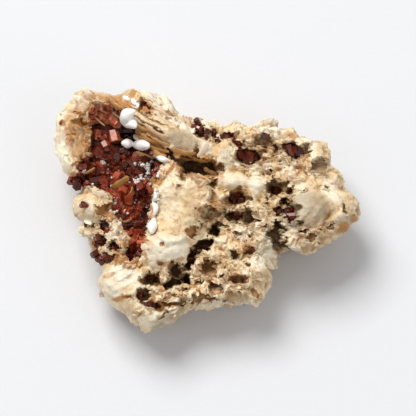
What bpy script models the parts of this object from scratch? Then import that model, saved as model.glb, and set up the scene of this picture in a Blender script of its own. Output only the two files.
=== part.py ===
"""A vanadinite specimen: red crystals in the hollows of a lump of cream barite rock.

Metres, +Z up. The rock rests on its flat cut underside at z = 0, with the middle of its box at
x = y = 0. Its top is drawn as it is seen from the front at VIEW_ELEVATION: places on it are given
in picture units, u to the right and v downwards, and heights run towards that eye.
"""

import math

import bmesh
import bpy
import numpy as np
from mathutils import Matrix

# Driving sizes, in metres
WIDTH = 0.080
THICKNESS = 0.0235
CRUST_GAP = 0.0006
NODULE_GAP = 0.0005
BED_PROUD = 0.0009
UNDER_DEPTH = 0.012
SLIVER = 0.00001
SIDE_DROP = 0.0052
FRONT_DROP = 0.0085
SAW_REACH = 0.07
SAW_DEPTH = 0.03

# The eye that the top is drawn for
VIEW_ELEVATION = math.radians(68.0)
PICTURE_WIDTH = 308.5
UNIT = WIDTH / PICTURE_WIDTH
EYE_CENTRE = (208.0, 209.0)
HUB = (200.0, 205.0)
MM = 0.001
BOX_SHIFT = (0.0005, -0.0039)

# How the top leans, how wide its rounded edge is at the back and how much wider in front, in units,
# and how hard it rounds
TOP_TILT = 0.25
ROUND_WIDTH = 19.0
ROUND_MORE = 9.0
ROUND_POWER = 1.15

# How the rim's height changes from the back to the front: the middle of the change and its slope
RIM_CHANGE = (0.5, 0.9)

# The wall: how far in its foot stands, the arc over which the foot's corners are worn away, and how
# far below the cut it is carried on, in millimetres
FOOT = 0.74
FOOT_BACK = 0.10
FOOT_ARC = math.radians(22.0)
FOOT_SAMPLES = 9
BELOW_CUT = 2.0

# Rock mesh: squares along a side of each sheet, and the share of triangles kept
SHEET_SQUARES = 124
KEPT_TRIANGLES = 0.079

# Scrambling of whole numbers into an even spread: large odd factors and a mask of 32 bits
FACTORS = (374761393, 668265263, 1440662683, 362437)
MIXERS = (1274126177, 668265263)
MASK = 0xFFFFFFFF

# Crystal blocks: their lowest and highest tops, and the falls of their steep, gentle and cross sides
BLOCK_TOPS = (0.4, 0.9)
BLOCK_FALLS = (1.5, 0.7, 1.15)

# The rock's roughness: size of the blocks, how far they move the surface, both in metres, the level
# that stays where it is, and a seed
WALL_BLOCKS = (0.0115, 0.0045, 0.35, 23)
ROCK_BLOCKS = ((0.0052, 0.0024, 0.42, 31), (0.0024, 0.0010, 0.42, 47))

# Where the rock's outward direction turns over to the side, and where the wall's blocks fade in
# below the rim and out at it, as shares of the way out, with the widths of these changes
TURN_OVER = (0.72, 0.28)
WALL_FADE = (0.80, 0.12, 0.04)

# Soft unevenness in the picture: how far, over what size in units, and a seed
SWELL = (1.3, 34.0, 13)
WOBBLE_U = (1.6, 8.0, 11)
WOBBLE_V = (1.6, 8.0, 12)
HOLLOW_WOBBLE = (2.2, 9.0, 5)

# Outline of the rock in picture units, clockwise from the left
OUTLINE = (
    (54, 145), (55, 118), (64, 106), (74, 91), (88, 91), (105, 90), (120, 93), (132, 88), (151, 92),
    (171, 100), (177, 111), (191, 118), (208, 120), (221, 125), (236, 119.5), (253, 125), (269, 118.5),
    (281, 125), (296, 129), (311, 138), (326.5, 143.5), (331, 149), (330, 163), (341, 172), (347.5, 191),
    (362.5, 206), (360, 216), (350.5, 232), (338, 238), (320, 248), (303, 254), (295, 247), (287, 251),
    (280, 258), (272, 272), (273.5, 281), (263.5, 301), (256.5, 308), (243.5, 305), (224, 307),
    (205, 311), (192, 310), (180, 314), (174, 322), (154, 330), (139.5, 330.5), (118.5, 310),
    (101.5, 294), (98, 281), (103, 273), (101, 262), (93, 255), (88, 237), (79, 231), (83.5, 224),
    (76, 219), (74, 200), (82, 190), (84.5, 184), (72.5, 182), (60, 168),
)

# Lumps: u, v, half width along and across, turn in degrees, height in millimetres
LUMPS = (
    (68, 128, 15, 34, 0, 1.6), (96, 90, 26, 13, 0, 1.4), (152, 122, 40, 23, 38, 2.4),
    (190, 142, 30, 15, 25, 1.6), (228, 152, 22, 20, 0, 1.4), (262, 128, 30, 14, 10, 1.0),
    (300, 136, 26, 16, 30, 1.0), (166, 246, 36, 24, -8, 3.6), (122, 288, 40, 34, 25, 2.6),
    (88, 208, 20, 20, 0, 1.6), (231, 181, 24, 11, 4, 2.0), (256, 186, 11, 15, 0, 1.6),
    (214, 198, 20, 18, 0, 1.0), (254, 270, 20, 15, 20, 1.6), (224, 240, 34, 20, 0, 0.8),
    (310, 208, 30, 24, -10, 2.6), (338, 202, 13, 22, -25, 1.4), (322, 182, 18, 16, 0, 1.0),
    (262, 238, 16, 20, 0, 1.2), (205, 296, 60, 14, -3, 1.0), (110, 232, 17, 17, 0, 1.4),
    (150, 318, 32, 16, -10, 1.2), (344, 222, 16, 16, 0, 0.6), (118, 158, 22, 26, 10, 0.8),
)

# The central peak: its edge, its height in millimetres, the width of its side walls, and the rows
# between which it fades by three quarters
PEAK_EDGE = (
    (175, 164), (180, 168), (186, 171), (193, 171), (202, 175), (211, 186), (210, 206), (200, 226),
    (184, 240), (166, 244), (156, 236), (156, 212), (155, 190), (162, 181), (168, 172),
)
PEAK_HEIGHT = 5.4
PEAK_WALL = 7.0
PEAK_ROWS = (168.0, 246.0)
PEAK_FADE = 0.75

# Ledges of thick layers: u, v, half widths, turn in degrees, spacing in units, height in millimetres
LEDGES = (
    (156, 118, 44, 25, 38, 8.8, 1.3), (70, 138, 36, 18, 82, 10.0, 0.9),
    (120, 288, 38, 30, -16, 12.0, 0.7), (312, 208, 28, 20, -38, 9.0, 0.6),
    (205, 302, 60, 12, -4, 8.4, 0.9),
)
LEDGE_RISE = 0.8
LEDGE_FADE = (1.2, 0.5)
LEDGES_END_AT = 3.0

# Pits: u, v, half width along and across, turn in degrees, depth in millimetres
PITS = (
    (236, 198, 12, 8, -5, 5.0), (233, 215, 9, 7, 0, 7.5), (248, 216, 9, 7.5, 0, 6.5),
    (214.5, 228, 7, 7.5, 0, 8.0), (208, 213, 11, 7, 0, 3.0), (207, 267, 9.5, 8, 0, 6.0),
    (232, 253, 6, 4.5, 0, 4.0), (248.5, 251, 7, 5, 0, 4.0), (237, 279, 8.5, 6, 0, 5.0),
    (215, 288, 8, 6, 0, 4.5), (234, 300, 10, 5.5, 0, 3.5), (175, 270, 8, 7, 30, 8.0),
    (150, 279, 10, 7.5, 0, 7.0), (142, 295, 8, 6.5, 0, 5.5), (154, 306, 8, 4, 5, 3.5),
    (191, 231, 6, 7, 0, 2.0), (200, 130, 7.5, 6, 20, 4.5), (215.5, 130, 4, 6, 0, 4.0),
    (229, 132, 8, 5.5, 10, 3.0), (239, 143, 9, 5.5, 35, 3.0), (248, 156, 15, 9.5, 8, 4.5),
    (265, 139, 11, 8.5, 0, 3.5), (294, 149, 12, 11.5, 0, 5.0), (275.5, 147, 5.5, 6.5, 0, 4.5),
    (307, 146.5, 6.5, 7, 0, 4.5), (270, 170.5, 4, 3.2, 0, 2.5), (323, 165, 9, 8.5, 0, 3.5),
    (274.5, 187, 11, 8.5, 0, 6.5), (289.5, 191, 4.5, 5, 0, 3.0), (285, 202, 6, 6, 0, 4.0),
    (278, 210, 6, 4.5, 0, 4.0), (291, 212, 7, 9.5, 0, 5.0), (278, 225, 7, 5, 0, 6.5),
    (314.5, 236, 7, 5, 0, 2.0), (197, 166.5, 22, 11, 8, 8.5), (210.5, 182, 5, 4, 0, 3.5),
    (101.5, 225.5, 8, 8.5, 0, 4.0), (111, 248, 9, 6, 0, 4.0), (95, 243, 5.5, 8.5, 15, 3.2),
    (104, 259, 11, 5, 0, 2.8), (106.5, 210.5, 12.5, 7.5, -10, 2.0), (78, 122, 6, 4.5, 0, 1.6),
    (87, 167, 9.5, 6, 20, 2.2), (143, 102, 6, 5, 40, 1.8),
)

# Clefts: half width, depth in millimetres, then the points along the floor
CLEFTS = (
    (4.5, 7.0, ((209, 240), (199, 246), (194, 254), (184, 264))),
    (5.5, 6.5, ((188, 278), (178, 276), (164, 284))),
    (6.0, 6.5, ((278, 223), (272, 232), (277, 243), (284, 258))),
)
PIT_EDGE = 1.28
PIT_WALL = 0.85

# The main hollow's edge, and its depth in millimetres
HOLLOW = (
    (88, 97), (102, 97), (114, 102), (125, 112), (138, 130), (150, 147), (163, 158), (161, 176),
    (155, 192), (151, 212), (147, 235), (146, 252), (140, 264), (127, 266), (122, 254), (127, 243),
    (121, 228), (113, 213), (110, 199), (99, 191), (86, 187), (70, 186), (66, 178), (75, 163),
    (85, 150), (88, 136), (85, 118),
)
HOLLOW_DEPTH = 5.6
HOLLOW_POOLS = ((126, 142, 24, 28, 0, 3.4), (138, 214, 16, 34, 8, 1.4))
HOLLOW_WALL = 9.0
HOLLOW_LIP = 2.0

# Red crystals: hexagonal prisms. Radius in millimetres, and their lengths as a share of it
CRYSTAL_RADII = (0.75, 1.55)
CRYSTAL_LENGTHS = (0.8, 1.9)
HOLLOW_CRYSTALS = 32
CRYSTALS_INSET = 3.5
BED_INSET = 2.0
BED_STEP = 10.0
POCKET_STEP = 4.2
POCKET_FILL = 0.8
SPIRAL_TURN = 2.4
UNDER_SHARE = 0.45
CRYSTAL_RISE = 0.35
CRYSTAL_LEANS = (15.0, 75.0)
SMALLER_MORE = 1.4
SHORTER_MORE = 1.5
KEPT_NODULE = 0.5
COVER_SAMPLES = 5
COVER_REACH = 0.7
SLANT = 0.05
DRAWS = 8

# Large red crystals of the hollow: u, v, radius in millimetres, lean and its direction in degrees
NAMED_CRYSTALS = (
    (97, 127, 1.7, 60, 100), (111, 127, 1.6, 56, 78), (113, 177, 2.0, 55, 20), (122, 183, 1.5, 40, 110),
    (103, 105, 1.3, 60, 70), (98, 148, 1.6, 55, 130), (80, 178, 1.5, 55, 160), (128, 207, 1.5, 45, 60),
    (136, 238, 1.6, 50, 110), (118, 117, 1.3, 50, 30),
)

# Pockets with red crystals: name, u, v, half widths, turn, and how many crystals
POCKETS = (
    ("upper", 200, 129.5, 6.5, 5.0, 20, 4),
    ("ridge", 229, 132.5, 6.5, 4.0, 10, 4),
    ("upper_middle", 248, 156, 11.5, 7.0, 8, 7),
    ("upper_right", 294, 149, 8.5, 8.0, 0, 7),
    ("centre", 237, 199, 8.5, 4.8, -5, 4),
    ("right_upper", 290, 212, 4.6, 6.4, 0, 5),
    ("right_round", 276, 190, 6.5, 4.0, 0, 3),
    ("left", 101.5, 226, 5.2, 5.4, 0, 4),
    ("left_edge", 104, 258.5, 7.5, 3.2, 0, 4),
    ("lower", 150, 304.5, 5.6, 2.6, 5, 3),
    ("cleft", 190, 259.5, 3.6, 3.4, 0, 2),
)

# White nodules: name, then balls as u, v, half widths, turn in degrees and height of their middle
NODULES = (
    ("cap", ((124.5, 112, 6.4, 5.0, 30, 2.6), (131, 118, 7.2, 4.6, 55, 2.6),
             (133.5, 126, 5.2, 5.4, 10, 2.2), (127, 121, 5.0, 5.0, 0, 1.6))),
    ("pair", ((127.5, 143.5, 5.4, 5.0, 0, 2.6), (137, 146, 8.4, 4.8, 5, 2.2),
              (137, 138, 4.8, 3.8, 20, 2.6))),
    ("tail", ((150, 151.5, 3.8, 2.8, 30, 1.2), (154.5, 154.5, 3.4, 2.6, 30, 1.2),
              (160, 157.5, 4.2, 2.6, 25, 1.0), (165.5, 160, 4.6, 3.0, 10, 1.0))),
    ("rim", ((122.8, 93.5, 4.0, 3.6, 0, 0.4), (128.5, 96.5, 3.8, 3.2, 20, 0.5),
             (134, 100, 4.2, 3.6, 30, 0.5))),
    ("ridge", ((155.5, 193, 3.2, 4.4, 0, 1.8), (155, 200, 3.0, 4.8, 0, 1.6),
               (154.5, 207.5, 3.2, 4.6, 0, 1.4), (153.8, 215, 3.4, 4.4, 0, 1.2),
               (153, 222.5, 4.4, 5.0, 0, 1.2), (152, 229.5, 3.8, 4.4, 0, 0.8))),
    ("druse", ((140, 163, 5.6, 4.2, 20, 1.4), (147, 168, 5.4, 4.4, 0, 1.5), (151, 175, 5.8, 4.2, 60, 1.6),
               (143, 174, 4.6, 4.0, 0, 1.1), (139, 181, 5.6, 4.6, 0, 1.3))),
)

ROCK_COLOUR = (0.80, 0.70, 0.55)
CRYSTAL_COLOUR = (0.22, 0.030, 0.012)
NODULE_COLOUR = (0.86, 0.84, 0.80)


def remove_objects():
    for thing in list(bpy.data.objects):
        bpy.data.objects.remove(thing, do_unlink=True)


def material(name, colour, roughness):
    made = bpy.data.materials.new(name)
    made.use_nodes = True
    shader = made.node_tree.nodes["Principled BSDF"]
    shader.inputs["Base Color"].default_value = (*colour, 1.0)
    shader.inputs["Roughness"].default_value = roughness
    shader.inputs["Metallic"].default_value = 0.0
    return made


def smooth_step(x):
    """0 below 0 and 1 above 1, with an S-shaped rise between."""
    x = np.clip(x, 0.0, 1.0)
    return x * x * (3.0 - 2.0 * x)


def spread(a, b, c, seed):
    """An even spread from 0 to 1, fixed for each set of whole numbers."""
    mixed = (a * FACTORS[0] + b * FACTORS[1] + c * FACTORS[2] + seed * FACTORS[3]) & MASK
    mixed = ((mixed ^ (mixed >> 13)) * MIXERS[0]) & MASK
    mixed = ((mixed ^ (mixed >> 16)) * MIXERS[1]) & MASK
    return (mixed ^ (mixed >> 15)) / (MASK + 1.0)


def soft_noise(points, seed):
    """Smooth noise from -1 to 1: the corners of a unit lattice, blended along each axis."""
    low = np.floor(points).astype(np.int64)
    part = smooth_step(points - low)
    total = np.zeros(len(points))
    for corner in np.ndindex(2, 2, 2):
        weight = np.prod(np.where(corner, part, 1.0 - part), axis=1)
        total += weight * spread(*(low + corner).T, seed)
    return 2.0 * total - 1.0


def uneven(u, v, kind):
    """Soft noise over the picture: kind gives how far it reaches, its size in units and its seed."""
    reach, size, seed = kind
    flat = np.stack([u / size, v / size, 0.0 * u], axis=-1).reshape(-1, 3)
    return reach * soft_noise(flat, seed).reshape(np.shape(u))


def crystal_blocks(points, seed):
    """The rough top of blocks grown together: in every unit cube a block with flat leaning faces
    stands at a place of its own, and the highest block at a point gives its height, -1 to 1."""
    low = np.floor(points).astype(np.int64)
    highest = np.full(len(points), -1.0)
    for step in np.ndindex(3, 3, 3):
        cell = low + np.array(step) - 1
        middle = cell + np.stack([spread(*cell.T, seed + k) for k in range(3)], axis=1)
        lean = np.stack([spread(*cell.T, seed + 3 + k) for k in range(3)], axis=1) * 2.0 - 1.0
        lean /= np.linalg.norm(lean, axis=1)[:, None] + 1e-9
        away = points - middle
        along = np.einsum("ij,ij->i", away, lean)
        side = np.linalg.norm(away - along[:, None] * lean, axis=1)
        height = BLOCK_TOPS[1] - (BLOCK_TOPS[1] - BLOCK_TOPS[0]) * spread(*cell.T, seed + 6)
        face = np.maximum(BLOCK_FALLS[0] * along, -BLOCK_FALLS[1] * along)
        highest = np.maximum(highest, height - np.maximum(face, BLOCK_FALLS[2] * side))
    return highest


def turned(u, v, place, turn):
    """Coordinates along and across a shape at place, turned by some degrees."""
    c, s = math.cos(math.radians(turn)), math.sin(math.radians(turn))
    du, dv = u - place[0], v - place[1]
    return du * c + dv * s, -du * s + dv * c


def bump(u, v, shape):
    """A smooth round lump: (1 - r^2)^2 inside its oval, 0 outside."""
    along, across = turned(u, v, shape[:2], shape[4])
    r2 = (along / shape[2]) ** 2 + (across / shape[3]) ** 2
    return np.clip(1.0 - r2, 0.0, 1.0) ** 2


def distance_to_path(u, v, path):
    """Distance to the nearest straight piece of a path."""
    nearest = np.full(np.shape(u), np.inf)
    for (u0, v0), (u1, v1) in zip(path[:-1], path[1:]):
        du, dv = u1 - u0, v1 - v0
        share = np.clip(((u - u0) * du + (v - v0) * dv) / (du * du + dv * dv), 0.0, 1.0)
        nearest = np.minimum(nearest, np.hypot(u - u0 - share * du, v - v0 - share * dv))
    return nearest


def inside_depth(u, v, edge):
    """Distance to a closed edge, above 0 inside it and below 0 outside."""
    inside = np.zeros(np.shape(u), bool)
    for (u0, v0), (u1, v1) in zip(edge, edge[1:] + edge[:1]):
        crosses = (v0 > v) != (v1 > v)
        at = u0 + (v - v0) / (v1 - v0 if v1 != v0 else 1e-9) * (u1 - u0)
        inside ^= crosses & (u < at)
    away = distance_to_path(u, v, edge + edge[:1])
    return np.where(inside, away, -away)


def outline_reach(angle):
    """Distance from the hub to the outline, in picture units, at each angle."""
    points = np.array(OUTLINE, float) - HUB
    angles = np.arctan2(points[:, 1], points[:, 0])
    order = np.argsort(angles)
    reach = np.hypot(points[:, 0], points[:, 1])
    return np.interp(angle, angles[order], reach[order], period=2.0 * math.pi)


def foot_reach(angle):
    """The outline with its corners worn away: the mean reach over a wide arc."""
    steps = np.linspace(-FOOT_ARC, FOOT_ARC, FOOT_SAMPLES)
    return sum(outline_reach(angle + step) for step in steps) / len(steps)


def hollow_floor(u, v):
    """How far the main hollow cuts down, in millimetres."""
    depth = inside_depth(u, v, HOLLOW) + uneven(u, v, HOLLOW_WOBBLE)
    floor = HOLLOW_DEPTH + sum(pool[5] * bump(u, v, pool) for pool in HOLLOW_POOLS)
    return floor * smooth_step((depth + HOLLOW_LIP) / HOLLOW_WALL)


def peak_top(u, v):
    """The central peak, in millimetres: a raised plate with crisp sides that sinks down the rows."""
    inside = inside_depth(u, v, PEAK_EDGE)
    row = (v - PEAK_ROWS[0]) / (PEAK_ROWS[1] - PEAK_ROWS[0])
    return PEAK_HEIGHT * (1.0 - PEAK_FADE * smooth_step(row)) * smooth_step(0.5 + inside / PEAK_WALL)


def ledge_tops(u, v):
    """Thick layers, in millimetres: each climbs slowly over its spacing and drops at its end."""
    total = np.zeros(np.shape(u))
    for shape in LEDGES:
        along, across = turned(u, v, shape[:2], shape[4])
        r = np.hypot(along / shape[2], across / shape[3])
        held = smooth_step((LEDGE_FADE[0] - r) / LEDGE_FADE[1])
        part = np.mod(across / shape[5], 1.0)
        climb = np.minimum(part / LEDGE_RISE, (1.0 - part) / (1.0 - LEDGE_RISE))
        total += shape[6] * (climb - 0.5) * held
    return total


def top_height(u, v):
    """Height of the rock's top towards the eye, in millimetres, from the middle plane."""
    height = uneven(u, v, SWELL) + peak_top(u, v)
    for lump in LUMPS:
        height = height + lump[5] * bump(u, v, lump)
    deep = hollow_floor(u, v)
    u, v = u + uneven(u, v, WOBBLE_U), v + uneven(u, v, WOBBLE_V)
    for pit in PITS:
        along, across = turned(u, v, pit[:2], pit[4])
        r = np.hypot(along / pit[2], across / pit[3])
        deep = np.maximum(deep, pit[5] * smooth_step((PIT_EDGE - r) / PIT_WALL))
    for half, depth, path in CLEFTS:
        r = distance_to_path(u, v, path) / half
        deep = np.maximum(deep, depth * smooth_step((PIT_EDGE - r) / PIT_WALL))
    return height - deep + ledge_tops(u, v) * (1.0 - smooth_step(deep / LEDGES_END_AT))


def to_row(u, v, height):
    """Row frame points, in metres, of picture places with a height in metres towards the eye."""
    right = (u - EYE_CENTRE[0]) * UNIT
    up = (EYE_CENTRE[1] - v) * UNIT
    c, s = math.cos(VIEW_ELEVATION), math.sin(VIEW_ELEVATION)
    base = THICKNESS * s
    return np.stack(
        [right + BOX_SHIFT[0], up * s - height * c + BOX_SHIFT[1], up * c + height * s + base], axis=-1
    )


def sheet_grid(squares):
    """A square grid laid on a disc: how far out each point is, 0 to 1, and its angle."""
    line = np.linspace(-1.0, 1.0, squares + 1)
    a, b = np.meshgrid(line, line)
    out = np.maximum(np.abs(a), np.abs(b))
    level = np.abs(a) >= np.abs(b)
    larger, smaller = np.where(level, a, b), np.where(level, b, a)
    turn = smaller / np.where(larger == 0.0, 1.0, larger) * (math.pi / 4.0)
    angle = np.where(level, turn, math.pi / 2.0 - turn) + np.where(larger < 0.0, math.pi, 0.0)
    return out, angle


def upness(angle):
    """1 at the back of the outline, -1 at its front."""
    return -np.sin(angle)


def rim_height(angle, v):
    """Height of the outline's edge towards the eye, in millimetres."""
    up = (EYE_CENTRE[1] - v) * UNIT / MM
    frontness = smooth_step(RIM_CHANGE[0] - RIM_CHANGE[1] * upness(angle))
    return -TOP_TILT * up - (SIDE_DROP + (FRONT_DROP - SIDE_DROP) * frontness) / MM


def top_sheet(out, angle):
    """The top: its height falls along a quarter round to the rim."""
    reach = outline_reach(angle)
    u, v = HUB[0] + out * reach * np.cos(angle), HUB[1] + out * reach * np.sin(angle)
    frontness = smooth_step(RIM_CHANGE[0] - RIM_CHANGE[1] * upness(angle))
    width = ROUND_WIDTH + ROUND_MORE * frontness
    t = np.clip((1.0 - out) * reach / width, 0.0, 1.0)
    fall = np.sqrt(np.clip(1.0 - (1.0 - t) ** 2, 0.0, 1.0)) ** ROUND_POWER
    up = (EYE_CENTRE[1] - v) * UNIT / MM
    rim = rim_height(angle, v)
    top = -TOP_TILT * up + top_height(u, v)
    return u, v, rim + (top - rim) * fall


def under_sheet(out, angle):
    """The wall and underside: a quarter round from the rim to below the cut."""
    foot = FOOT - FOOT_BACK * upness(angle)
    t = np.clip((out - foot) / (1.0 - foot), 0.0, 1.0)
    reach = foot_reach(angle) + (outline_reach(angle) - foot_reach(angle)) * t**2
    u, v = HUB[0] + out * reach * np.cos(angle), HUB[1] + out * reach * np.sin(angle)
    up = (EYE_CENTRE[1] - v) * UNIT / MM
    cut = -up / math.tan(VIEW_ELEVATION) - THICKNESS / MM - BELOW_CUT
    rise = 1.0 - np.sqrt(np.clip(1.0 - t**2, 0.0, 1.0))
    return u, v, cut + (rim_height(angle, v) - cut) * rise


def rough(points, out, angle, lift):
    """Moves points along the rock's outward direction by blocks of crystal, the largest on the wall
    alone. Lift is 1 on the top, where outward leans from the eye to the rim, and -1 below."""
    lean = smooth_step((out - TURN_OVER[0]) / TURN_OVER[1]) * (math.pi / 2.0)
    c, s = math.cos(VIEW_ELEVATION), math.sin(VIEW_ELEVATION)
    radial = np.stack([np.cos(angle), -np.sin(angle) * s, -np.sin(angle) * c], axis=-1)
    outward = np.sin(lean)[:, None] * radial + (lift * np.cos(lean))[:, None] * np.array([0.0, -c, s])
    wall = smooth_step((out - WALL_FADE[0]) / WALL_FADE[1]) * (lift < 0.0)
    wall = wall * smooth_step((1.0 - out) / WALL_FADE[2])
    place = points - np.array([*BOX_SHIFT, 0.0])
    size, reach, level, seed = WALL_BLOCKS
    move = reach * wall * (crystal_blocks(place / size, seed) - level)
    for size, reach, level, seed in ROCK_BLOCKS:
        move += reach * (crystal_blocks(place / size, seed) - level)
    return points + outward * move[:, None]


def grid_faces(squares, first, flip):
    """Four-cornered faces of a grid whose points start at first."""
    row = squares + 1
    start = (np.arange(squares)[:, None] * row + np.arange(squares)[None, :]).ravel() + first
    faces = np.stack([start, start + 1, start + row + 1, start + row], axis=1)
    return faces[:, ::-1] if flip else faces


def top_points(out, angle):
    """The top's points in the row frame."""
    u, v, height = top_sheet(out, angle)
    return rough(to_row(u, v, height * MM), out, angle, np.ones(len(out)))


def rock_mesh():
    """Two sheets of the rock, sewn together along the outline."""
    out, angle = (field.ravel() for field in sheet_grid(SHEET_SQUARES))
    u, v, height = under_sheet(out, angle)
    under = rough(to_row(u, v, height * MM), out, angle, -np.ones(len(out)))
    count = len(out)
    faces = np.concatenate([grid_faces(SHEET_SQUARES, 0, True), grid_faces(SHEET_SQUARES, count, False)])
    rim = np.flatnonzero(out > 1.0 - 1e-9)
    shared = np.arange(2 * count)
    shared[rim + count] = rim
    used, faces = np.unique(shared[faces], return_inverse=True)
    points = np.concatenate([top_points(out, angle), under])[used]
    return mesh_of("barite_matrix", points, faces.reshape(-1, 4))


def mesh_of(name, points, faces):
    mesh = bpy.data.meshes.new(name)
    mesh.from_pydata(np.asarray(points).tolist(), [], [list(face) for face in faces])
    return mesh


def surface(u, v):
    """Row frame points of the rock's top at picture places."""
    u, v = np.atleast_1d(np.asarray(u, float)), np.atleast_1d(np.asarray(v, float))
    angle = np.arctan2(v - HUB[1], u - HUB[0])
    out = np.hypot(u - HUB[0], v - HUB[1]) / outline_reach(angle)
    return top_points(out, angle)


def eye_direction():
    return np.array([0.0, -math.cos(VIEW_ELEVATION), math.sin(VIEW_ELEVATION)])


def new_object(name, mesh, made_of):
    thing = bpy.data.objects.new(name, mesh)
    mesh.materials.append(made_of)
    bpy.context.collection.objects.link(thing)
    return thing


def cutter(name, mesh):
    thing = bpy.data.objects.new(name, mesh)
    bpy.context.collection.objects.link(thing)
    thing.hide_render = True
    thing.display_type = "WIRE"
    return thing


def box_mesh(name, low, high):
    """A plain box between two corners."""
    mesh = bpy.data.meshes.new(name)
    shape = bmesh.new()
    bmesh.ops.create_cube(shape, size=1.0)
    size = np.array(high) - np.array(low)
    middle = (np.array(high) + np.array(low)) / 2.0
    bmesh.ops.scale(shape, vec=size, verts=shape.verts)
    bmesh.ops.translate(shape, vec=middle, verts=shape.verts)
    shape.to_mesh(mesh)
    shape.free()
    return mesh


def add_boolean(thing, other, operation):
    step = thing.modifiers.new(operation.lower(), "BOOLEAN")
    step.operation = operation
    step.object = other
    return step


def make_rock(stone):
    """The rock: its fine sheets thinned to facets, then cut flat at the bottom."""
    whole = cutter("whole_rock", rock_mesh())
    whole.modifiers.new("facets", "DECIMATE").ratio = KEPT_TRIANGLES
    low, high = (-SAW_REACH, -SAW_REACH, -SAW_DEPTH), (SAW_REACH, SAW_REACH, 0.0)
    saw = cutter("saw", box_mesh("saw", low, high))
    add_boolean(whole, saw, "DIFFERENCE").use_self = True
    mesh = baked(whole)
    weld(mesh)
    for helper in (whole, saw):
        bpy.data.objects.remove(helper, do_unlink=True)
    return new_object("barite_matrix", mesh, stone)


def baked(thing):
    """The mesh of an object with its modifiers worked in."""
    bpy.context.view_layer.update()
    graph = bpy.context.evaluated_depsgraph_get()
    return bpy.data.meshes.new_from_object(thing.evaluated_get(graph))


def weld(mesh):
    """Joins points so near each other that only a sliver lies between them."""
    shape = bmesh.new()
    shape.from_mesh(mesh)
    bmesh.ops.triangulate(shape, faces=shape.faces)
    bmesh.ops.dissolve_degenerate(shape, edges=shape.edges, dist=SLIVER)
    shape.to_mesh(mesh)
    shape.free()


def keep_largest(mesh):
    """Drops every bit and every closed bubble that a cut has parted from the main surface."""
    shape = bmesh.new()
    shape.from_mesh(mesh)
    left, bodies = set(shape.verts), []
    while left:
        body, front = set(), [left.pop()]
        while front:
            vertex = front.pop()
            body.add(vertex)
            ends = {edge.other_vert(vertex) for edge in vertex.link_edges} & left
            left -= ends
            front.extend(ends)
        bodies.append(body)
    bodies.sort(key=len)
    for body in bodies[:-1]:
        bmesh.ops.delete(shape, geom=list(body), context="VERTS")
    shape.to_mesh(mesh)
    shape.free()


def prism(centre, axis, spin, radius, length):
    """A hexagonal crystal with flat ends: its points and faces."""
    side = np.cross(axis, [0.31, 0.77, 0.55])
    side /= np.linalg.norm(side)
    across = np.cross(axis, side)
    turn = spin + np.arange(6) * math.pi / 3.0
    ring = (np.cos(turn)[:, None] * side + np.sin(turn)[:, None] * across) * radius
    ends = (centre - axis * length * 0.5 + ring, centre + axis * length * 0.5 + ring)
    faces = [list(range(5, -1, -1)), list(range(6, 12))]
    faces += [[k, (k + 1) % 6, 6 + (k + 1) % 6, 6 + k] for k in range(6)]
    return np.concatenate(ends), faces


def joined(shapes):
    """Points and faces of several shapes as one list."""
    points, faces, first = [], [], 0
    for some, loops in shapes:
        points.append(some)
        faces += [[first + corner for corner in loop] for loop in loops]
        first += len(some)
    return np.concatenate(points), faces


def cover(low, high, step):
    """A grid of picture places and, over each, a height that clears the rock: the highest of the
    rock's points near it."""
    u = np.arange(low[0], high[0] + step, step)
    v = np.arange(low[1], high[1] + step, step)
    grid_u, grid_v = np.meshgrid(u, v)
    highest = np.full(grid_u.shape, -1.0)
    reach = COVER_REACH * step
    for du in np.linspace(-reach, reach, COVER_SAMPLES):
        for dv in np.linspace(-reach, reach, COVER_SAMPLES):
            near = surface((grid_u + du).ravel(), (grid_v + dv).ravel()) @ eye_direction()
            highest = np.maximum(highest, near.reshape(grid_u.shape))
    return grid_u, grid_v, highest


def at_height(u, v, height):
    """Row frame points that lie over picture places, at a height along the eye's direction."""
    flat = to_row(u, v, 0.0 * u)
    flat -= (flat @ eye_direction())[..., None] * eye_direction()
    return flat + height[..., None] * eye_direction()


def slab(grid, held, low, high):
    """A closed bed over the held squares of a grid, between two heights above its cover."""
    grid_u, grid_v, cover_height = (field.ravel() for field in grid)
    count, row = len(grid_u), grid[0].shape[1]
    points = np.concatenate([
        at_height(grid_u + SLANT, grid_v + SLANT, cover_height + high),
        at_height(grid_u, grid_v, cover_height + low),
    ])
    faces = []
    for j, i in np.argwhere(held):
        corner = j * row + i
        ring = [corner, corner + 1, corner + row + 1, corner + row]
        beside = ((j - 1, i), (j, i + 1), (j + 1, i), (j, i - 1))
        faces += [[ring[0], ring[3], ring[2]], [ring[0], ring[2], ring[1]]]
        faces += [[count + ring[0], count + ring[1], count + ring[2]]]
        faces += [[count + ring[0], count + ring[2], count + ring[3]]]
        for k, (y, x) in enumerate(beside):
            if not (0 <= y < held.shape[0] and 0 <= x < held.shape[1] and held[y, x]):
                one, two = ring[k], ring[(k + 1) % 4]
                faces += [[one, two, count + two], [one, count + two, count + one]]
    used = sorted({corner for face in faces for corner in face})
    place = {corner: k for k, corner in enumerate(used)}
    return points[used], [[place[corner] for corner in face] for face in faces]


def bed(grid, inside):
    """The bed that a hollow's crystals stand on, over the squares whose middles are inside it."""
    middle_u = (grid[0][1:, 1:] + grid[0][:-1, :-1]) / 2.0
    middle_v = (grid[1][1:, 1:] + grid[1][:-1, :-1]) / 2.0
    held = inside(middle_u, middle_v)
    a, b, c, d = held[:-1, :-1], held[:-1, 1:], held[1:, :-1], held[1:, 1:]
    held[:-1, :-1] |= (b & c) & ~(a | d)
    held[:-1, 1:] |= (a & d) & ~(b | c)
    return slab(grid, held, CRUST_GAP, CRUST_GAP + BED_PROUD)


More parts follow.
